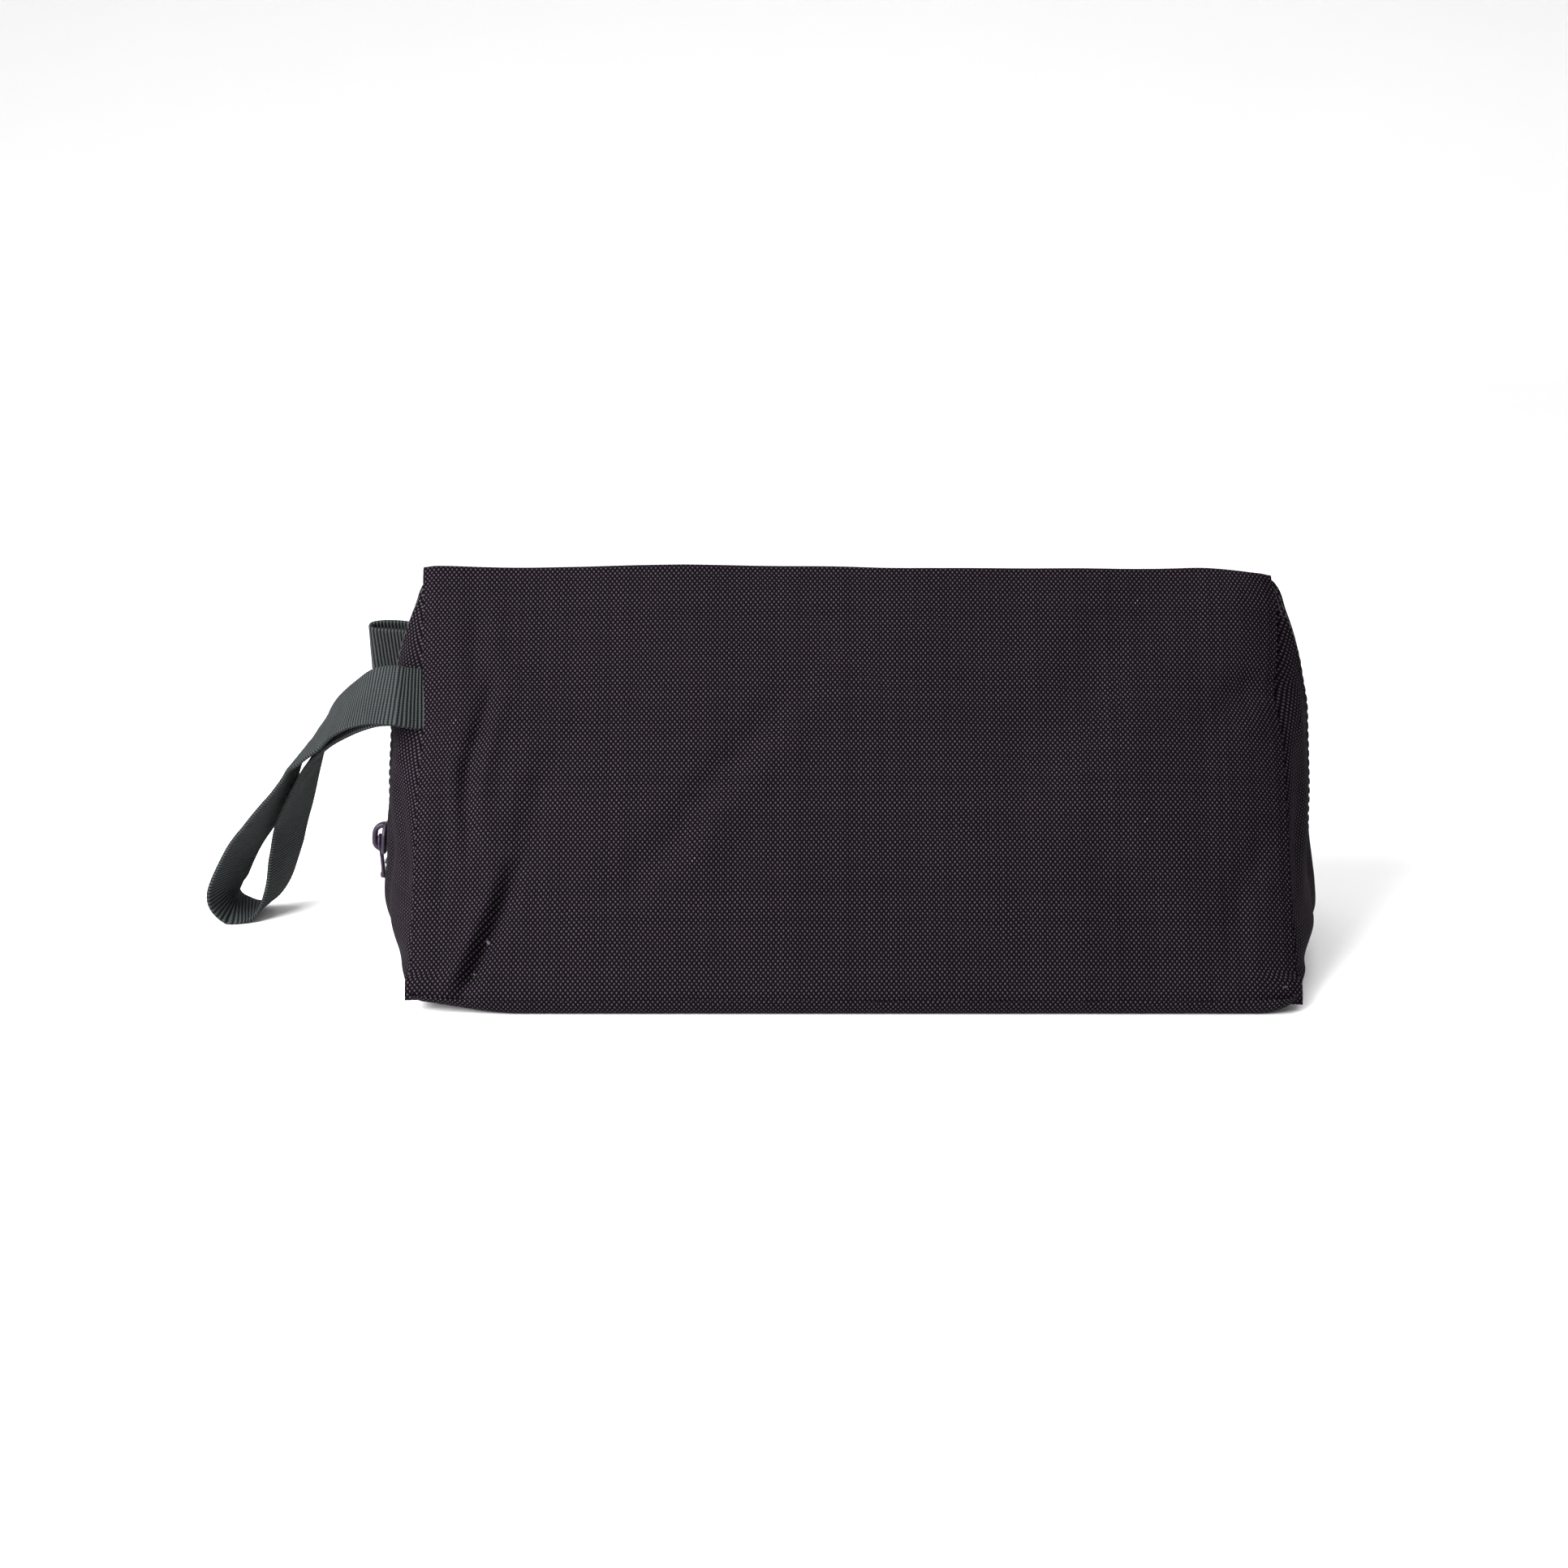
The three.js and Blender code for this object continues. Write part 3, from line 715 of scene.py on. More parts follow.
class KITBAG_OT_panels(bpy.types.Operator):
    """Front and back shell panels, folded over at the top edge"""

    bl_idname = "kitbag.panels"
    bl_label = "Front and back panels"

    def execute(self, context):
        wall = sizes().wall / MM
        for side in (FRONT, BACK):
            x = spread(-HALF_LENGTH, HALF_LENGTH, 190, 0.55)
            t = spread(0.0, 1.0, 92, 0.45)
            grid_x, grid_t = np.meshgrid(x, t)
            low = hem_height(grid_x, side)
            high = top_height(grid_x, side)
            z = low + (high - low) * grid_t
            grid = panel_points(side, grid_x, z)
            along = z * LEAN * MM
            fold, run = self.folded_edge(side, grid[-1], x)
            grid = np.concatenate([grid, fold])
            along = np.concatenate([along, along[-1] + run * MM])
            across = np.broadcast_to(x, grid.shape[:2]) * MM
            obj = closed_sheet(
                f"{SIDES[side]}_shell_panel", grid, across, along, wall, (0, side, SLOPE), "shell_fabric"
            )
            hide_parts(f"{SIDES[side]}_panel")
            hinge_half(obj)
        return {"FINISHED"}

    def folded_edge(self, side, last, x):
        """Rows that roll over the top and run down to the zip tape."""
        rows, runs = [], []
        for k in range(1, 9):
            angle = math.pi * k / 8
            row = last.copy()
            row[:, 1] -= side * TOP_FOLD * (1 - math.cos(angle))
            row[:, 2] += TOP_FOLD * math.sin(angle)
            rows.append(row)
            runs.append(np.full(len(x), TOP_FOLD * angle))
        for k in range(1, 4):
            row = rows[7].copy()
            row[:, 2] -= k * 1.1
            row[:, 1] -= side * k * 0.12
            rows.append(row)
            runs.append(runs[7] + k * 1.1)
        return np.array(rows), np.array(runs)


class KITBAG_OT_ends(bpy.types.Operator):
    """End panels, a near and a far half each, meeting below the slit and folded back beside the zip"""

    bl_idname = "kitbag.ends"
    bl_label = "End panels"

    def execute(self, context):
        wall = sizes().wall / MM
        for end in (LEFT, RIGHT):
            for side in (FRONT, BACK):
                heights, reaches, _ = side_seam(end, side)
                z = spread(HEM + 0.6, min(ZIP_RIDGE + 0.6, heights[-1] + 0.2), 110, 0.3)
                t = spread(0.0, 1.0, 46, 0.3)
                grid_z, grid_t = np.meshgrid(z, t, indexing="ij")
                outer = np.interp(grid_z, heights, reaches) - SEAM_TUCK
                inner = slit_edge(grid_z)
                y = side * (outer + (inner - outer) * grid_t)
                grid = end_points(end, side, y, grid_z)
                groove = 1.1 * bell(np.abs(y), 1.6) * smooth((SLIT_FOOT + 1 - grid_z) / 4)
                turned = 0.54 * bell(np.abs(y) - inner, 1.3) * smooth((grid_z - SLIT_FOOT) / 5)
                grid[..., 0] -= end * (groove + turned)
                name = f"{ENDS[end]}_end_{SIDES[side]}_half"
                obj = closed_sheet(name, grid, y * MM, grid_z * MM, wall, (end, 0, 0), "shell_fabric")
                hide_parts(f"{ENDS[end]}_end_{SIDES[side]}", f"{ENDS[end]}_end_lower")
                hinge_half(obj)
        return {"FINISHED"}


class KITBAG_OT_base(bpy.types.Operator):
    """Base, flat on the floor and turned up to the hem all round"""

    bl_idname = "kitbag.base"
    bl_label = "Base"

    ROLL = 4.2
    FLAT = 0.9

    def execute(self, context):
        wall = sizes().wall / MM
        u, v = np.meshgrid(self.steps(110), self.steps(70))
        grid, across, down = self.tray(u, v)
        obj = closed_sheet(
            "base_shell", grid, across * MM, down * MM, wall, (0, 0, -1), "shell_fabric"
        )
        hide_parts("base_panel")
        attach(obj, "bag_body")
        return {"FINISHED"}

    def steps(self, count):
        """Shares from edge to edge, with fine steps over the rolled rim."""
        rim = np.linspace(self.FLAT, 1.0, 14)
        return np.concatenate([-rim[::-1], np.linspace(-self.FLAT, self.FLAT, count)[1:-1], rim])

    def across_rim(self, share, half):
        """Place, turn of the roll (0 to a quarter turn) and cloth length from the middle."""
        roll = np.clip((np.abs(share) - self.FLAT) / (1 - self.FLAT), 0, 1) * math.pi / 2
        flat = np.clip(np.abs(share) / self.FLAT, 0, 1) * (half - self.ROLL)
        side = np.sign(share)
        return side * (flat + self.ROLL * np.sin(roll)), roll, side * (flat + self.ROLL * roll)

    def tray(self, u, v):
        """Flat on the floor, rolled up to the hem all round, with curled corners."""
        x, roll_x, across = self.across_rim(u, HALF_LENGTH - 0.6)
        y, roll_y, down = self.across_rim(v, HALF_DEPTH - 0.5)
        hem = np.where(v < 0, hem_height(x, FRONT), hem_height(x, BACK)) + 0.5
        rise = 1 - np.cos(roll_x) * np.cos(roll_y)
        lift = floor_lift(x, y)
        z = lift + (hem - lift) * rise + 0.05
        corner = np.sin(roll_x) * np.sin(roll_y)
        x = x - np.sign(x) * 0.5 * corner
        y = y - np.sign(y) * 1.1 * corner
        return np.stack([x, y, z], -1), across, down


class KITBAG_OT_linings(bpy.types.Operator):
    """Coated linings inside the shell"""

    bl_idname = "kitbag.linings"
    bl_label = "Linings"

    def execute(self, context):
        wall = sizes().lining / MM
        gap = sizes().wall / MM + 0.7
        for side in (FRONT, BACK):
            x = np.linspace(-HALF_LENGTH + 2.5, HALF_LENGTH - 2.5, 70)
            z = np.linspace(8.0, HEIGHT - 3.0, 40)
            grid_x, grid_z = np.meshgrid(x, z)
            grid = panel_points(side, grid_x, grid_z, gap)
            name = f"{SIDES[side]}_lining_cloth"
            obj = closed_sheet(
                name, grid, grid_x * MM, grid_z * MM, wall, (0, side, SLOPE), "lining_fabric"
            )
            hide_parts(f"{SIDES[side]}_lining")
            hinge_half(obj)
        for end in (LEFT, RIGHT):
            for side in (FRONT, BACK):
                z = np.linspace(7.0, ZIP_RIDGE - 3, 60)
                t = np.linspace(0, 1, 24)
                grid_z, grid_t = np.meshgrid(z, t, indexing="ij")
                outer = half_depth(grid_z) - 6.5
                inner = np.minimum(0.3 + 8.0 * smooth((grid_z - SLIT_FOOT + 6) / 9), outer - 0.3)
                y = side * (outer + (inner - outer) * grid_t)
                grid = end_points(end, side, y, grid_z, gap + 0.2)
                name = f"{ENDS[end]}_{SIDES[side]}_lining_cloth"
                obj = closed_sheet(name, grid, y * MM, grid_z * MM, wall, (end, 0, 0), "lining_fabric")
                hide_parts(f"{ENDS[end]}_{SIDES[side]}_lining", f"{ENDS[end]}_lower_lining")
                hinge_half(obj)
        x, y = np.meshgrid(np.linspace(-126.5, 126.5, 70), np.linspace(-64.5, 64.5, 44))
        rim = np.maximum(smooth((np.abs(x) - 118) / 8.5), smooth((np.abs(y) - 57) / 7.5))
        z = 2.2 + 5.4 * rim + 0.35 * cloud(x, y, 0, 30, 12)
        obj = closed_sheet(
            "base_lining_cloth", np.stack([x, y, z], -1), x * MM, y * MM, wall, (0, 0, -1), "lining_fabric"
        )
        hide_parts("base_lining")
        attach(obj, "bag_body")
        return {"FINISHED"}


def line_normals(line):
    """Unit vectors out of an (x, z) line, on its left."""
    along = directions(line)
    return np.stack([-along[:, 1], along[:, 0]], 1)


def follow_tree(name, extents, rings, turned):
    """A Geometry Nodes tree that sets a row of beads along a piece's edges, in a given material."""
    tree = bpy.data.node_groups.new(name, "GeometryNodeTree")
    tree.interface.new_socket("Geometry", in_out="INPUT", socket_type="NodeSocketGeometry")
    for label in dict.fromkeys(("Pitch", *extents)):
        tree.interface.new_socket(label, in_out="INPUT", socket_type="NodeSocketFloat")
    tree.interface.new_socket("Material", in_out="INPUT", socket_type="NodeSocketMaterial")
    tree.interface.new_socket("Geometry", in_out="OUTPUT", socket_type="NodeSocketGeometry")
    source = tree.nodes.new("NodeGroupInput")
    sockets = {s.name: Val(tree, s) for s in source.outputs if s.name}
    curve = add_node(tree, "GeometryNodeMeshToCurve", None, {"Mesh": sockets["Geometry"]})
    dots = tree.nodes.new("GeometryNodeCurveToPoints")
    dots.mode = "LENGTH"
    plug(tree, dots.inputs["Curve"], curve)
    plug(tree, dots.inputs["Length"], sockets["Pitch"])
    tangent = Val(tree, dots.outputs["Tangent"])
    turn = add_node(tree, "FunctionNodeAlignRotationToVector", {"axis": "X"}, {"Vector": tangent})
    placed = add_node(tree, "GeometryNodeInstanceOnPoints", None, {
        "Points": Val(tree, dots.outputs["Points"]),
        "Instance": bead(tree, sockets, extents, rings, turned),
        "Rotation": turn,
    })
    real = add_node(tree, "GeometryNodeRealizeInstances", None, {"Geometry": placed})
    painted = add_node(
        tree, "GeometryNodeSetMaterial", None, {"Geometry": real, "Material": sockets["Material"]}
    )
    sink = tree.nodes.new("NodeGroupOutput")
    plug(tree, sink.inputs["Geometry"], painted)
    return tree


def bead(tree, sockets, extents, rings, turned):
    """A rounded bead as long, wide and high as the three inputs named in extents."""
    ball = add_node(
        tree, "GeometryNodeMeshUVSphere", None, {"Segments": 8, "Rings": rings, "Radius": 0.5}
    )
    if turned:
        quarter = {"Geometry": ball, "Rotation": (0.0, math.pi / 2, 0.0)}
        ball = add_node(tree, "GeometryNodeTransform", None, quarter)
    x, y, z = [sockets[label] for label in extents]
    scale = add_node(tree, "ShaderNodeCombineXYZ", None, {"X": x, "Y": y, "Z": z})
    shaped = add_node(tree, "GeometryNodeTransform", None, {"Geometry": ball, "Scale": scale})
    return add_node(
        tree, "GeometryNodeSetShadeSmooth", None, {"Geometry": shaped, "Shade Smooth": True}
    )


def run_along(name, lines, tree, values, slot):
    """Plain mesh of a tree's result along millimetre polylines."""
    points, edges = [], []
    for line in lines:
        start = len(points)
        points += [tuple(np.asarray(p) * MM) for p in line]
        edges += [(start + k, start + k + 1) for k in range(len(line) - 1)]
    path_mesh = bpy.data.meshes.new(name + "_path")
    path_mesh.from_pydata(points, edges, [])
    path = bpy.data.objects.new(name + "_path", path_mesh)
    bpy.context.scene.collection.objects.link(path)
    modifier = path.modifiers.new("follow", "NODES")
    modifier.node_group = tree
    identifiers = {s.name: s.identifier for s in tree.interface.items_tree if s.in_out == "INPUT"}
    for label, value in {**values, "Material": finish(slot)}.items():
        modifier[identifiers[label]] = value
    evaluated = path.evaluated_get(bpy.context.evaluated_depsgraph_get())
    mesh = bpy.data.meshes.new_from_object(evaluated)
    mesh.name = name
    bpy.data.objects.remove(path)
    obj = bpy.data.objects.new(name, mesh)
    bpy.context.scene.collection.objects.link(obj)
    if not mesh.materials:
        mesh.materials.append(finish(slot))
    return obj


ROWS = {
    "stitch row": (("Stitch length", "Thickness", "Thickness"), 5, False),
    "zip coil": (("Turn width", "Turn reach", "Turn height"), 7, True),
}
FOLLOW = {}


def row_tree(name):
    if name not in FOLLOW:
        FOLLOW[name] = follow_tree(name, *ROWS[name])
    return FOLLOW[name]


def stitch_rows(name, lines):
    pitch = sizes().stitch_pitch
    values = {"Pitch": pitch, "Stitch length": pitch * 0.8, "Thickness": 0.00042}
    return run_along(name, lines, row_tree("stitch row"), values, "thread")


class KITBAG_OT_zip(bpy.types.Operator):
    """Zip tapes and coils along the ridge and down both ends"""

    bl_idname = "kitbag.zip"
    bl_label = "Zip"

    # Distances from the middle and, at each, how deep the tape lies: everywhere, and on the back of
    # the ridge, where the back panel ends lower.
    SPANS = np.array([0.75, 1.2, 2.0, 3.2, 4.6, 6.0, 7.0, TAPE_EDGE + 0.5])
    SINK = np.array([-0.5, -0.45, -0.35, -0.3, -0.45, -0.7, -0.9, -1.1])
    BACK_SINK = np.array([-0.5, -0.45, -0.35, -0.3, -0.8, -2.0, -3.4, -5.2])
    TAPE_THICK = 0.55

    def execute(self, context):
        out = line_normals(ZIP)
        run = run_of(ZIP)
        pitch = sizes().tooth_pitch
        x, z = ZIP[:, 0], ZIP[:, 1]
        sunk = np.where(x < 0, 0.9, 1.4) * smooth((np.abs(x) - 104) / 12) * smooth((z - 92) / 10)
        zip_path = ZIP - out * sunk[:, None]
        for side in (FRONT, BACK):
            sink = np.tile(self.SINK, (len(ZIP), 1))
            if side == BACK:
                level = smooth((out[:, 1] - 0.72) / 0.2)
                sink += (self.BACK_SINK - sink) * level[:, None]
            grid = np.zeros((len(ZIP), len(self.SPANS), 3))
            for k, reach in enumerate(self.SPANS):
                line = zip_path + out * sink[:, k : k + 1]
                grid[:, k] = np.stack([line[:, 0], np.full(len(ZIP), side * reach), line[:, 1]], 1)
            across = np.broadcast_to(self.SPANS * MM, grid.shape[:2])
            down = np.broadcast_to((run * MM)[:, None], grid.shape[:2])
            outward = np.stack([out[:, 0], np.zeros(len(ZIP)), out[:, 1]], 1)[:, None]
            name = f"zip_tape_{SIDES[side]}_cloth"
            tape = closed_sheet(name, grid, across, down, self.TAPE_THICK, outward, "zip_tape")
            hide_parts(f"zip_tape_{SIDES[side]}")
            hinge_half(tape)
            centre = zip_path + out * 0.25
            line = np.stack([centre[:, 0], np.full(len(ZIP), side * 1.05), centre[:, 1]], 1)
            if side == BACK:
                line = self.shifted(line, pitch / MM / 2)
            values = {
                "Pitch": pitch, "Turn width": pitch * 0.62, "Turn reach": 0.0031, "Turn height": 0.0016
            }
            name = f"zip_coil_{SIDES[side]}_turns"
            coil = run_along(name, [line], row_tree("zip coil"), values, "zip_coil")
            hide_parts(f"zip_coil_{SIDES[side]}")
            hinge_half(coil)
            self.tape_stitches(side, zip_path - out * 0.1)
        return {"FINISHED"}

    def shifted(self, line, distance):
        """The same line begun a little later, so that the two coils mesh."""
        run = run_of(line)
        fresh = np.append(np.arange(distance, run[-1], 1.0), run[-1])
        return np.stack([np.interp(fresh, run, line[:, k]) for k in range(3)], 1)

    def tape_stitches(self, side, line):
        """The sewing that holds the coil to its tape."""
        row = np.stack([line[:, 0], np.full(len(ZIP), side * 3.1), line[:, 1]], 1)
        obj = stitch_rows(f"zip_sewing_{SIDES[side]}", [row])
        hinge_half(obj)


class KITBAG_OT_topstitching(bpy.types.Operator):
    """Rows of stitching beside the zip on both ends"""

    bl_idname = "kitbag.topstitching"
    bl_label = "Topstitching"

    def execute(self, context):
        for side in (FRONT, BACK):
            lines = []
            for end in (LEFT, RIGHT):
                z = np.linspace(SLIT_FOOT + 3, ZIP_RIDGE - 4, 90)
                y = side * (slit_edge(z) + 2.2)
                lines.append(end_points(end, side, y, z, -0.1))
            obj = stitch_rows(f"topstitching_{SIDES[side]}", lines)
            hinge_half(obj)
        return {"FINISHED"}


def tube_faces(rows, count):
    """Quads of a closed tube made of rings of count points, with a cap at each end."""
    faces = []
    for start in range(0, (rows - 1) * count, count):
        for k in range(count):
            a, b = start + k, start + (k + 1) % count
            faces.append((a, b, b + count, a + count))
    last = (rows - 1) * count
    return faces + [tuple(reversed(range(count))), tuple(range(last, last + count))]


def webbing_strip(name, middles, acrosses, per_span, replaced):
    """Ribbed webbing through middle points, turned to the given directions across the strip."""
    line = catmull(middles, per_span)
    wide = catmull(acrosses, per_span)
    along = directions(line)
    wide -= along * (wide * along).sum(1, keepdims=True)
    wide /= np.linalg.norm(wide, axis=1, keepdims=True)
    face = np.cross(along, wide)
    run = run_of(line)
    half_width = sizes().webbing_width / MM / 2
    half_thick = sizes().webbing_thick / MM / 2
    steps = np.array([-1, -0.975, -0.9, -0.7, -0.35, 0, 0.35, 0.7, 0.9, 0.975, 1])
    swell = np.array([0.45, 0.85, 1, 0.94, 0.96, 1, 0.96, 0.94, 1, 0.85, 0.45])
    rib = 0.10 * np.abs(np.sin(math.pi * run / RIB_PITCH))
    rings, across = [], []
    for way in (1, -1):
        for step, fat in zip(steps[::way], swell[::way]):
            lift = way * (half_thick * fat + rib * (abs(step) < 0.98) - 0.05)
            rings.append(line + wide * (step * half_width) + face * lift[:, None])
            across.append(step * half_width)
    points = np.stack(rings, 1).reshape(-1, 3)
    # The rings run the other way round here, so each face is turned over.
    faces = [(face[0], *face[:0:-1]) for face in tube_faces(len(line), len(rings))]
    uvs = np.stack([np.tile(across, len(line)), np.repeat(run, len(rings))], 1) * MM
    obj = piece(name, points, faces, "webbing", uvs)
    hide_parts(replaced)
    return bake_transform(obj)


# Along the loop: its middle (x, y, z) and the direction across it.
LOOP_STATIONS = (
    (-128.4, -22.1, 84.4, 0, 0.46, 0.89),
    (-131.0, -23.0, 84.8, 0, 0.46, 0.89),
    (-134.4, -24.6, 85.7, 0, 0.48, 0.88),
    (-137.6, -25.1, 86.3, -0.03, 0.5, 0.87),
    (-144.6, -21.9, 85.3, -0.05, 0.66, 0.75),
    (-151.2, -17.3, 81.9, -0.08, 0.84, 0.53),
    (-157.8, -12.1, 76.8, -0.12, 0.93, 0.34),
    (-163.1, -7.9, 70.7, -0.16, 0.98, 0.13),
    (-168.4, -3.9, 65.2, -0.17, 0.98, -0.04),
    (-173.6, 0.6, 59.5, -0.14, 0.97, -0.2),
    (-180.6, 5.6, 48.3, -0.02, 0.94, -0.33),
    (-188.4, 11.1, 37.0, 0.11, 0.92, -0.36),
    (-196.2, 16.1, 26.3, 0.26, 0.92, -0.29),
    (-202.2, 19.6, 15.5, 0.38, 0.91, -0.18),
    (-204.2, 21.9, 9.2, 0.4, 0.91, -0.06),
    (-202.8, 23.5, 4.6, 0.33, 0.94, 0.02),
    (-199.4, 24.8, 2.5, 0.2, 0.98, 0.05),
    (-195.2, 25.7, 2.4, 0.14, 0.99, 0.03),
    (-191.2, 26.1, 5.4, 0.12, 0.99, -0.06),
    (-187.6, 25.6, 12.2, 0.17, 0.97, -0.19),
    (-184.2, 23.5, 23.2, 0.25, 0.93, -0.27),
    (-180.4, 19.6, 35.3, 0.24, 0.94, -0.25),
    (-173.5, 11.1, 51.1, 0.06, 0.98, -0.19),
    (-167.6, 3.5, 61.8, -0.05, 0.99, -0.06),
    (-159.2, -5.9, 72.0, -0.1, 0.96, 0.19),
    (-150.0, -14.7, 80.0, -0.05, 0.8, 0.58),
    (-143.1, -21.1, 84.3, -0.04, 0.62, 0.76),
    (-137.6, -23.6, 85.6, -0.02, 0.52, 0.85),
    (-134.4, -23.1, 85.0, 0, 0.48, 0.88),
    (-131.0, -21.6, 84.1, 0, 0.46, 0.89),
    (-128.4, -20.8, 83.7, 0, 0.46, 0.89),
)

# Along the tab: distance from the bag's middle along X, and how far it stands off the back panel.
TAB_STATIONS = (
    (128.4, -5.9), (131.0, -4.9), (135.0, -3.0), (141.6, -1.2), (148.0, -0.4), (151.6, 0.2), (152.9, 1.6),
    (151.9, 3.2), (147.6, 3.9), (141.0, 3.2), (135.4, 0.4), (131.0, -3.3), (128.4, -4.5),
)
TAB_HEIGHT = 89.9


class KITBAG_OT_loop_and_tab(bpy.types.Operator):
    """Long carry loop on the near left seam and short pull tab on the far left seam"""

    bl_idname = "kitbag.loop_and_tab"
    bl_label = "Carry loop and pull tab"

    def execute(self, context):
        stations = np.array(LOOP_STATIONS)
        middles, acrosses = stations[:, :3], stations[:, 3:]
        webbing_strip("carry_loop_webbing", middles, acrosses, 44, "carry_loop")
        root_y = half_depth(TAB_HEIGHT)
        up = np.array((0.07, -SLOPE, 1)) / LEAN
        out = np.array((0, 1, SLOPE)) / LEAN
        middles = [np.array((-reach, root_y, TAB_HEIGHT)) + out * off for reach, off in TAB_STATIONS]
        webbing_strip("pull_tab_webbing", middles, [up] * len(middles), 26, "pull_tab")
        return {"FINISHED"}


# ---- zip hardware

SLIDER_TURN = math.atan2(END_LEAN, SLIT_STRAIGHT - SLIT_FOOT)


def on_zip(points):
    """From slider axes (n out of the zip, w across it, t up along it) to the frame."""
    p = np.asarray(points, float)
    n, w, t = p[:, 0], p[:, 1], p[:, 2]
    c, s = math.cos(SLIDER_TURN), math.sin(SLIDER_TURN)
    foot = HALF_LENGTH + END_BULGE
    return np.stack([-foot - n * c + t * s, -w, SLIT_FOOT + n * s + t * c], 1)


def loft(sections):
    """Points and faces of a closed loft: each section is a ring of points in slider axes."""
    points = np.concatenate([np.asarray(s, float) for s in sections])
    return points, tube_faces(len(sections), len(sections[0]))


def rounded_outline(shape, n):
    """A ring in the plane n from (w, t) corners, with extra points that round them off."""
    corners = np.array(shape, float)
    ring = []
    for k in range(len(corners)):
        before, here, after = corners[k - 1], corners[k], corners[(k + 1) % len(corners)]
        for share in (0.72, 0.9, 1.0, 1.1, 1.28):
            if share <= 1:
                p = before + (here - before) * share
            else:
                p = here + (after - here) * (share - 1)
            mid = (before + here * 6 + after) / 8
            ring.append(p * 0.6 + mid * 0.4 if 0.85 < share < 1.15 else p)
    return [(n, w, t) for w, t in ring]


def join_lofts(parts):
    points, faces, start = [], [], 0
    for part_points, part_faces in parts:
        points.append(part_points)
        faces += [tuple(i + start for i in f) for f in part_faces]
        start += len(part_points)
    return np.concatenate(points), faces


def plate(outline, levels):
    """A plate with eased edges: levels are (n, share of the outline's size), face to face."""
    shape = np.array(outline, float)
    middle = shape.mean(0)
    return loft([rounded_outline(middle + (shape - middle) * share, n) for n, share in levels])


def arch(path, half_width, half_thick):
    """A strip along (n, t) points, flat side out, with eased edges."""
    line = catmull(path, 5)
    out = -line_normals(line)
    rings = []
    for (n, t), (on, ot) in zip(line, out):
        ring = []
        for angle in np.linspace(0, 2 * math.pi, 12, endpoint=False):
            c, s = math.cos(angle), math.sin(angle)
            w = half_width * math.copysign(abs(c) ** 0.5, c)
            h = half_thick * math.copysign(abs(s) ** 0.5, s)
            ring.append((n + on * h, w, t + ot * h))
        rings.append(ring)
    return loft(rings)


def hardware(name, points, faces, replaced, body):
    """An enamelled piece with its faces turned outwards."""
    obj = piece(name, points, faces, "zip_metal")
    work = bmesh.new()
    work.from_mesh(obj.data)
    bmesh.ops.recalc_face_normals(work, faces=work.faces)
    work.to_mesh(obj.data)
    work.free()
    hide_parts(replaced)
    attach(obj, body)


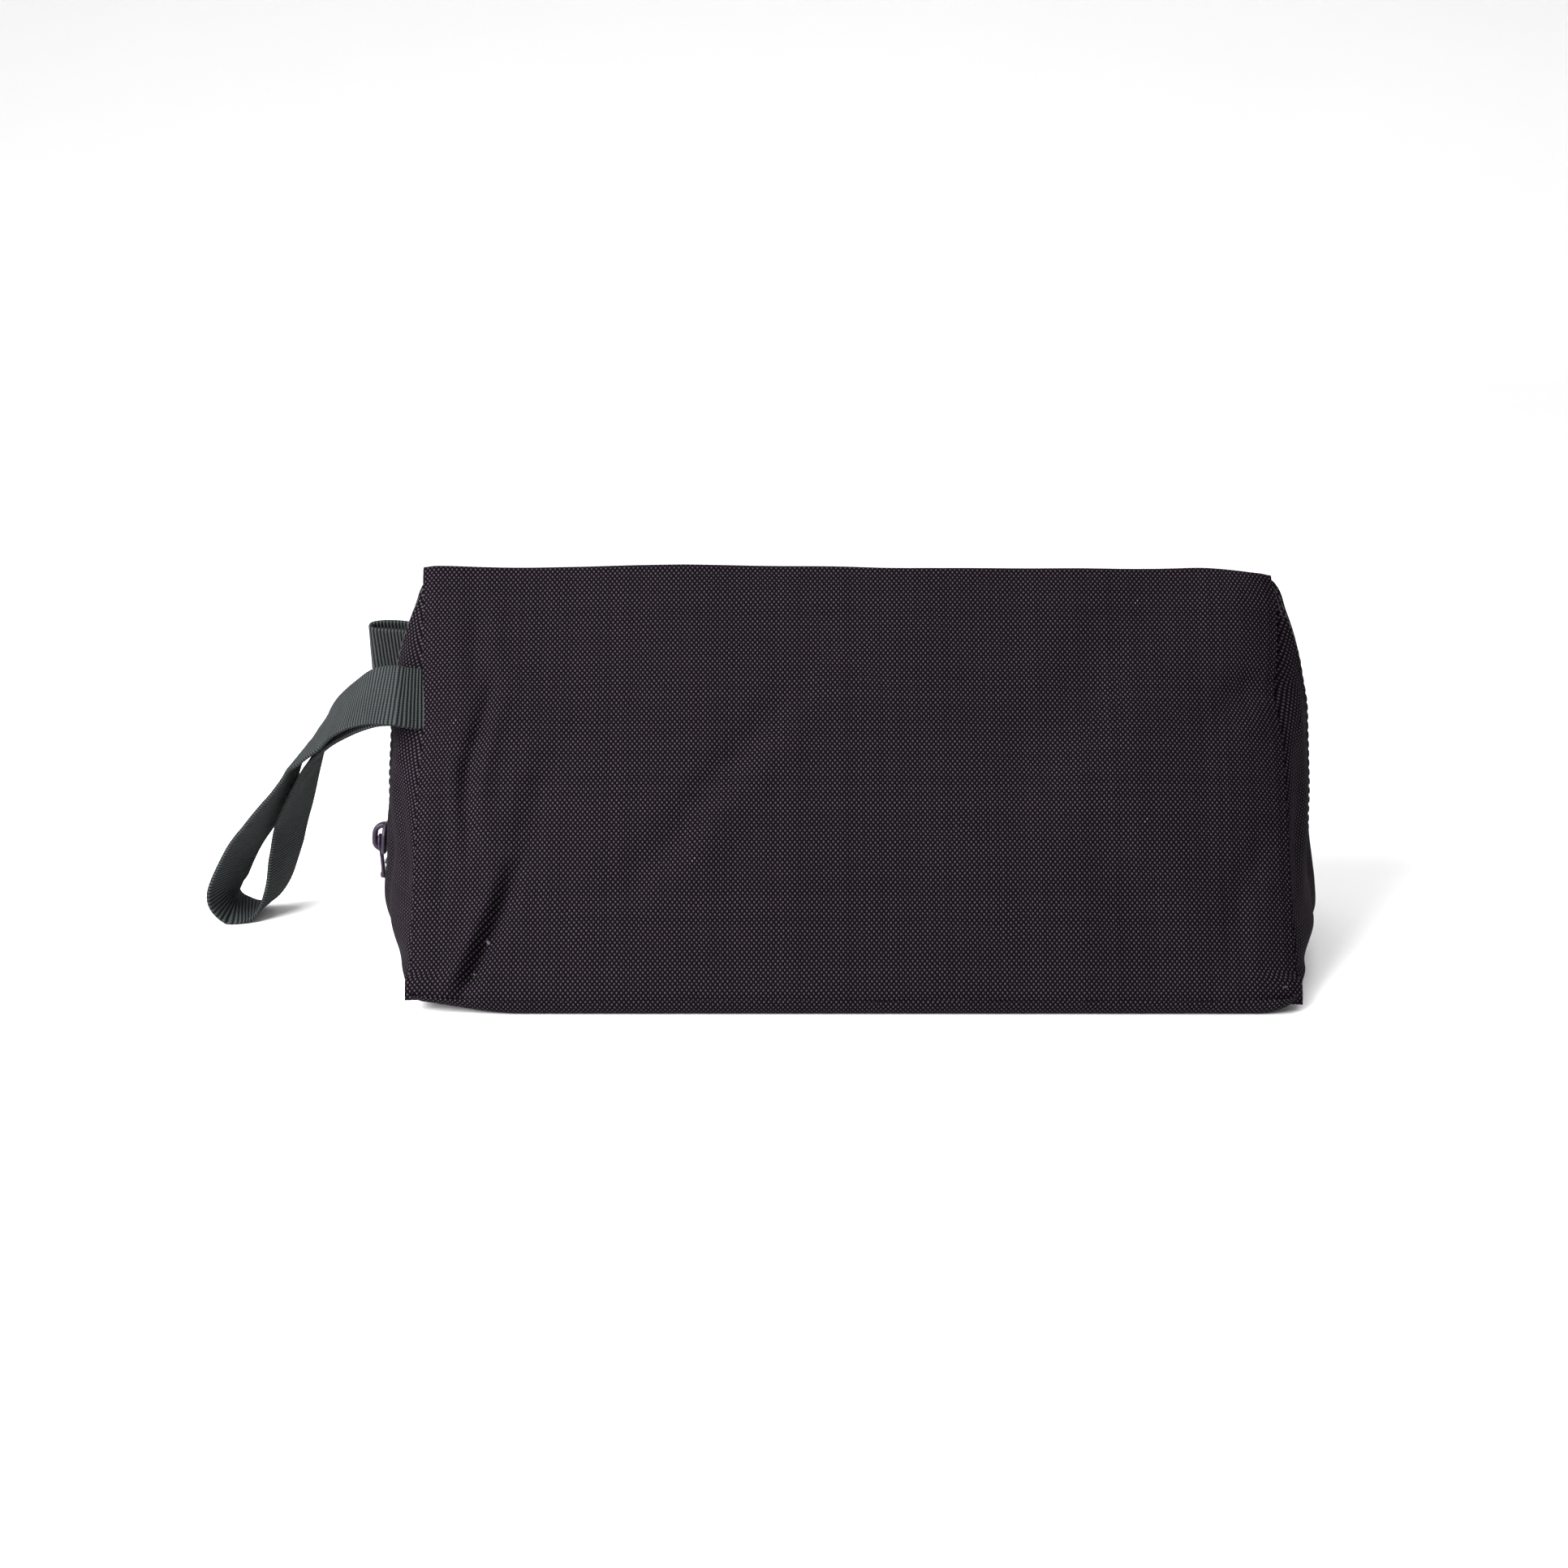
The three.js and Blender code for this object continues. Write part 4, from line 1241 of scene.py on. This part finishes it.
class KITBAG_OT_slider(bpy.types.Operator):
    """Zip slider, its puller and the stops at the feet of the slits"""

    bl_idname = "kitbag.slider"
    bl_label = "Slider, puller and stops"

    # Outlines are (w, t) corners; the crown's path is (n, t).
    WING = (
        (-3.2, 1.5), (3.2, 1.5), (4.5, 3.8), (4.5, 8.0),
        (2.4, 11.4), (-2.4, 11.4), (-4.5, 8.0), (-4.5, 3.8),
    )
    POST = ((-0.4, 7), (0.4, 7), (0.4, 10.4), (-0.4, 10.4))
    CROWN = ((2.4, 2.6), (3.8, 2.9), (5.1, 4.2), (5.4, 6.5), (5.1, 8.9), (3.8, 10.2), (2.4, 10.6))
    BLADE = (
        (-1.5, 2.2), (1.5, 2.2), (1.25, -1.0), (1.9, -4.4),
        (1.7, -6.6), (-1.7, -6.6), (-1.9, -4.4), (-1.25, -1.0),
    )
    FOOT = ((-1.7, -6.8), (1.7, -6.8), (1.8, -5.0), (-1.8, -5.0))
    STOP = ((-3.0, -1.6), (3.0, -1.6), (3.0, -0.1), (-3.0, -0.1))
    EYE = (3.8, 4.3)  # middle of the puller's eye, (n, t)

    def execute(self, context):
        outer = plate(self.WING, ((1.5, 0.97), (1.7, 1.0), (2.3, 1.0), (2.7, 0.9), (2.8, 0.7)))
        inner = plate(self.WING, ((-2.7, 0.93), (-2.5, 1.0), (-1.8, 1.0), (-1.5, 0.95)))
        post = plate(self.POST, ((-1.8, 1.0), (1.8, 1.0)))
        crown = arch(self.CROWN, 1.5, 0.85)
        points, faces = join_lofts([outer, inner, post, crown])
        hardware("slider_and_bridge", on_zip(points), faces, "slider_body", "slider")
        points, faces = join_lofts(self.tongue())
        hardware("puller_tongue", on_zip(self.lean_in(points)), faces, "puller", "puller")
        for end in (LEFT, RIGHT):
            points, faces = plate(self.STOP, ((0.3, 0.94), (0.5, 1.0), (1.3, 1.0), (1.55, 0.8)))
            placed = on_zip(points) * (-end, 1, 1)
            hardware(f"{ENDS[end]}_zip_stop", placed, faces, f"zip_stop_{ENDS[end]}", "bag_body")
        return {"FINISHED"}

    def tongue(self):
        """An eye round the bridge, a waisted tongue and a thicker foot."""
        eye_n, eye_t = self.EYE
        rings = []
        for turn in np.linspace(0, 2 * math.pi, 25):
            w, t = 1.95 * math.cos(turn), 2.7 * math.sin(turn)
            away = np.array((w, t)) / math.hypot(w, t)
            section = []
            for angle in np.linspace(0, 2 * math.pi, 10, endpoint=False):
                c, s = 0.55 * math.cos(angle), 0.5 * math.sin(angle)
                section.append((eye_n + s, w + away[0] * c, eye_t + t + away[1] * c))
            rings.append(section)
        return [
            loft(rings),
            plate(self.BLADE, ((3.35, 0.93), (3.45, 1.0), (4.05, 1.0), (4.2, 0.92))),
            plate(self.FOOT, ((3.3, 0.9), (3.5, 1.0), (4.5, 0.98), (4.75, 0.75))),
        ]

    def lean_in(self, points):
        """The tongue tips towards the coil below the bridge."""
        leaned = np.array(points)
        leaned[:, 0] -= 0.15 * np.clip(5.5 - leaned[:, 2], 0, None)
        return leaned


class KITBAG_OT_stage(bpy.types.Operator):
    """Pale floor, soft lights and the camera"""

    bl_idname = "kitbag.stage"
    bl_label = "Stage"

    def execute(self, context):
        scene = context.scene
        points, faces = self.sweep()
        piece("floor", points, faces, "floor")
        world = bpy.data.worlds.new("studio")
        world.use_nodes = True
        back = world.node_tree.nodes["Background"]
        back.inputs["Color"].default_value = (1.0, 1.0, 1.0, 1.0)
        back.inputs["Strength"].default_value = 0.42
        scene.world = world
        self.sun("overhead", (-0.15, -0.2, 1.4), 35.0, 1.5)
        softbox = self.lamp("softbox", "AREA", (-0.78, -0.80, 0.72))
        softbox.shape = "DISK"
        softbox.size = 0.85
        softbox.energy = 53.0
        self.sun("behind", (0.5, 0.9, 0.8), 30.0, 1.2)
        camera = bpy.data.objects.new("camera", bpy.data.cameras.new("camera"))
        camera.data.sensor_width = 36.0
        camera.data.lens = 49.3416
        camera.location = (-0.02035, -0.65435, 0.22735)
        camera.rotation_euler = (math.radians(75.0), 0.0, 0.0)
        camera.data.clip_start = 0.01
        scene.collection.objects.link(camera)
        scene.camera = camera
        scene.view_settings.view_transform = "Standard"
        scene.view_settings.look = "None"
        return {"FINISHED"}

    def sweep(self):
        """A floor that curves up into a backdrop far behind the bag."""
        half, back, radius, height = 4000.0, 2200.0, 1200.0, 3400.0
        turn = np.linspace(0, math.pi / 2, 24)
        profile = [(-3000.0, 0.0), (0.0, 0.0)]
        profile += [(back + radius * math.sin(a), radius - radius * math.cos(a)) for a in turn]
        profile.append((back + radius, height))
        points = [(x, y, z) for y, z in profile for x in (-half, half)]
        faces = [(2 * i, 2 * i + 1, 2 * i + 3, 2 * i + 2) for i in range(len(profile) - 1)]
        return points, faces

    def sun(self, name, place, spread_degrees, strength):
        data = self.lamp(name, "SUN", place)
        data.angle = math.radians(spread_degrees)
        data.energy = strength

    def lamp(self, name, kind, place):
        """A lamp that shines from a place towards the bag."""
        data = bpy.data.lights.new(name, kind)
        lamp = bpy.data.objects.new(name, data)
        lamp.location = place
        lamp.rotation_euler = (-Vector(place)).to_track_quat("-Z", "Y").to_euler()
        bpy.context.scene.collection.objects.link(lamp)
        return data


OPERATORS = (
    KITBAG_OT_stage,
    KITBAG_OT_panels,
    KITBAG_OT_ends,
    KITBAG_OT_base,
    KITBAG_OT_linings,
    KITBAG_OT_zip,
    KITBAG_OT_topstitching,
    KITBAG_OT_loop_and_tab,
    KITBAG_OT_slider,
)


class KITBAG_PT_panel(bpy.types.Panel):
    """Kit bag settings and build steps"""

    bl_idname = "KITBAG_PT_panel"
    bl_label = "Kit bag"
    bl_space_type = "VIEW_3D"
    bl_region_type = "UI"
    bl_category = "Kit bag"

    def draw(self, context):
        for group in (context.scene.kit_bag_sizes, context.scene.kit_bag_colours):
            for name in group.__annotations__:
                self.layout.prop(group, name)
        for operator in OPERATORS:
            self.layout.operator(operator.bl_idname)


CLASSES = (KitBagSizes, KitBagColours, *OPERATORS, KITBAG_PT_panel)


def register():
    for cls in CLASSES:
        bpy.utils.register_class(cls)
    bpy.types.Scene.kit_bag_sizes = bpy.props.PointerProperty(type=KitBagSizes)
    bpy.types.Scene.kit_bag_colours = bpy.props.PointerProperty(type=KitBagColours)


def unregister():
    del bpy.types.Scene.kit_bag_colours
    del bpy.types.Scene.kit_bag_sizes
    for cls in reversed(CLASSES):
        bpy.utils.unregister_class(cls)


def main():
    register()
    for operator in OPERATORS:
        getattr(bpy.ops.kitbag, operator.bl_idname.split(".")[1])()


if __name__ == "__main__":
    main()
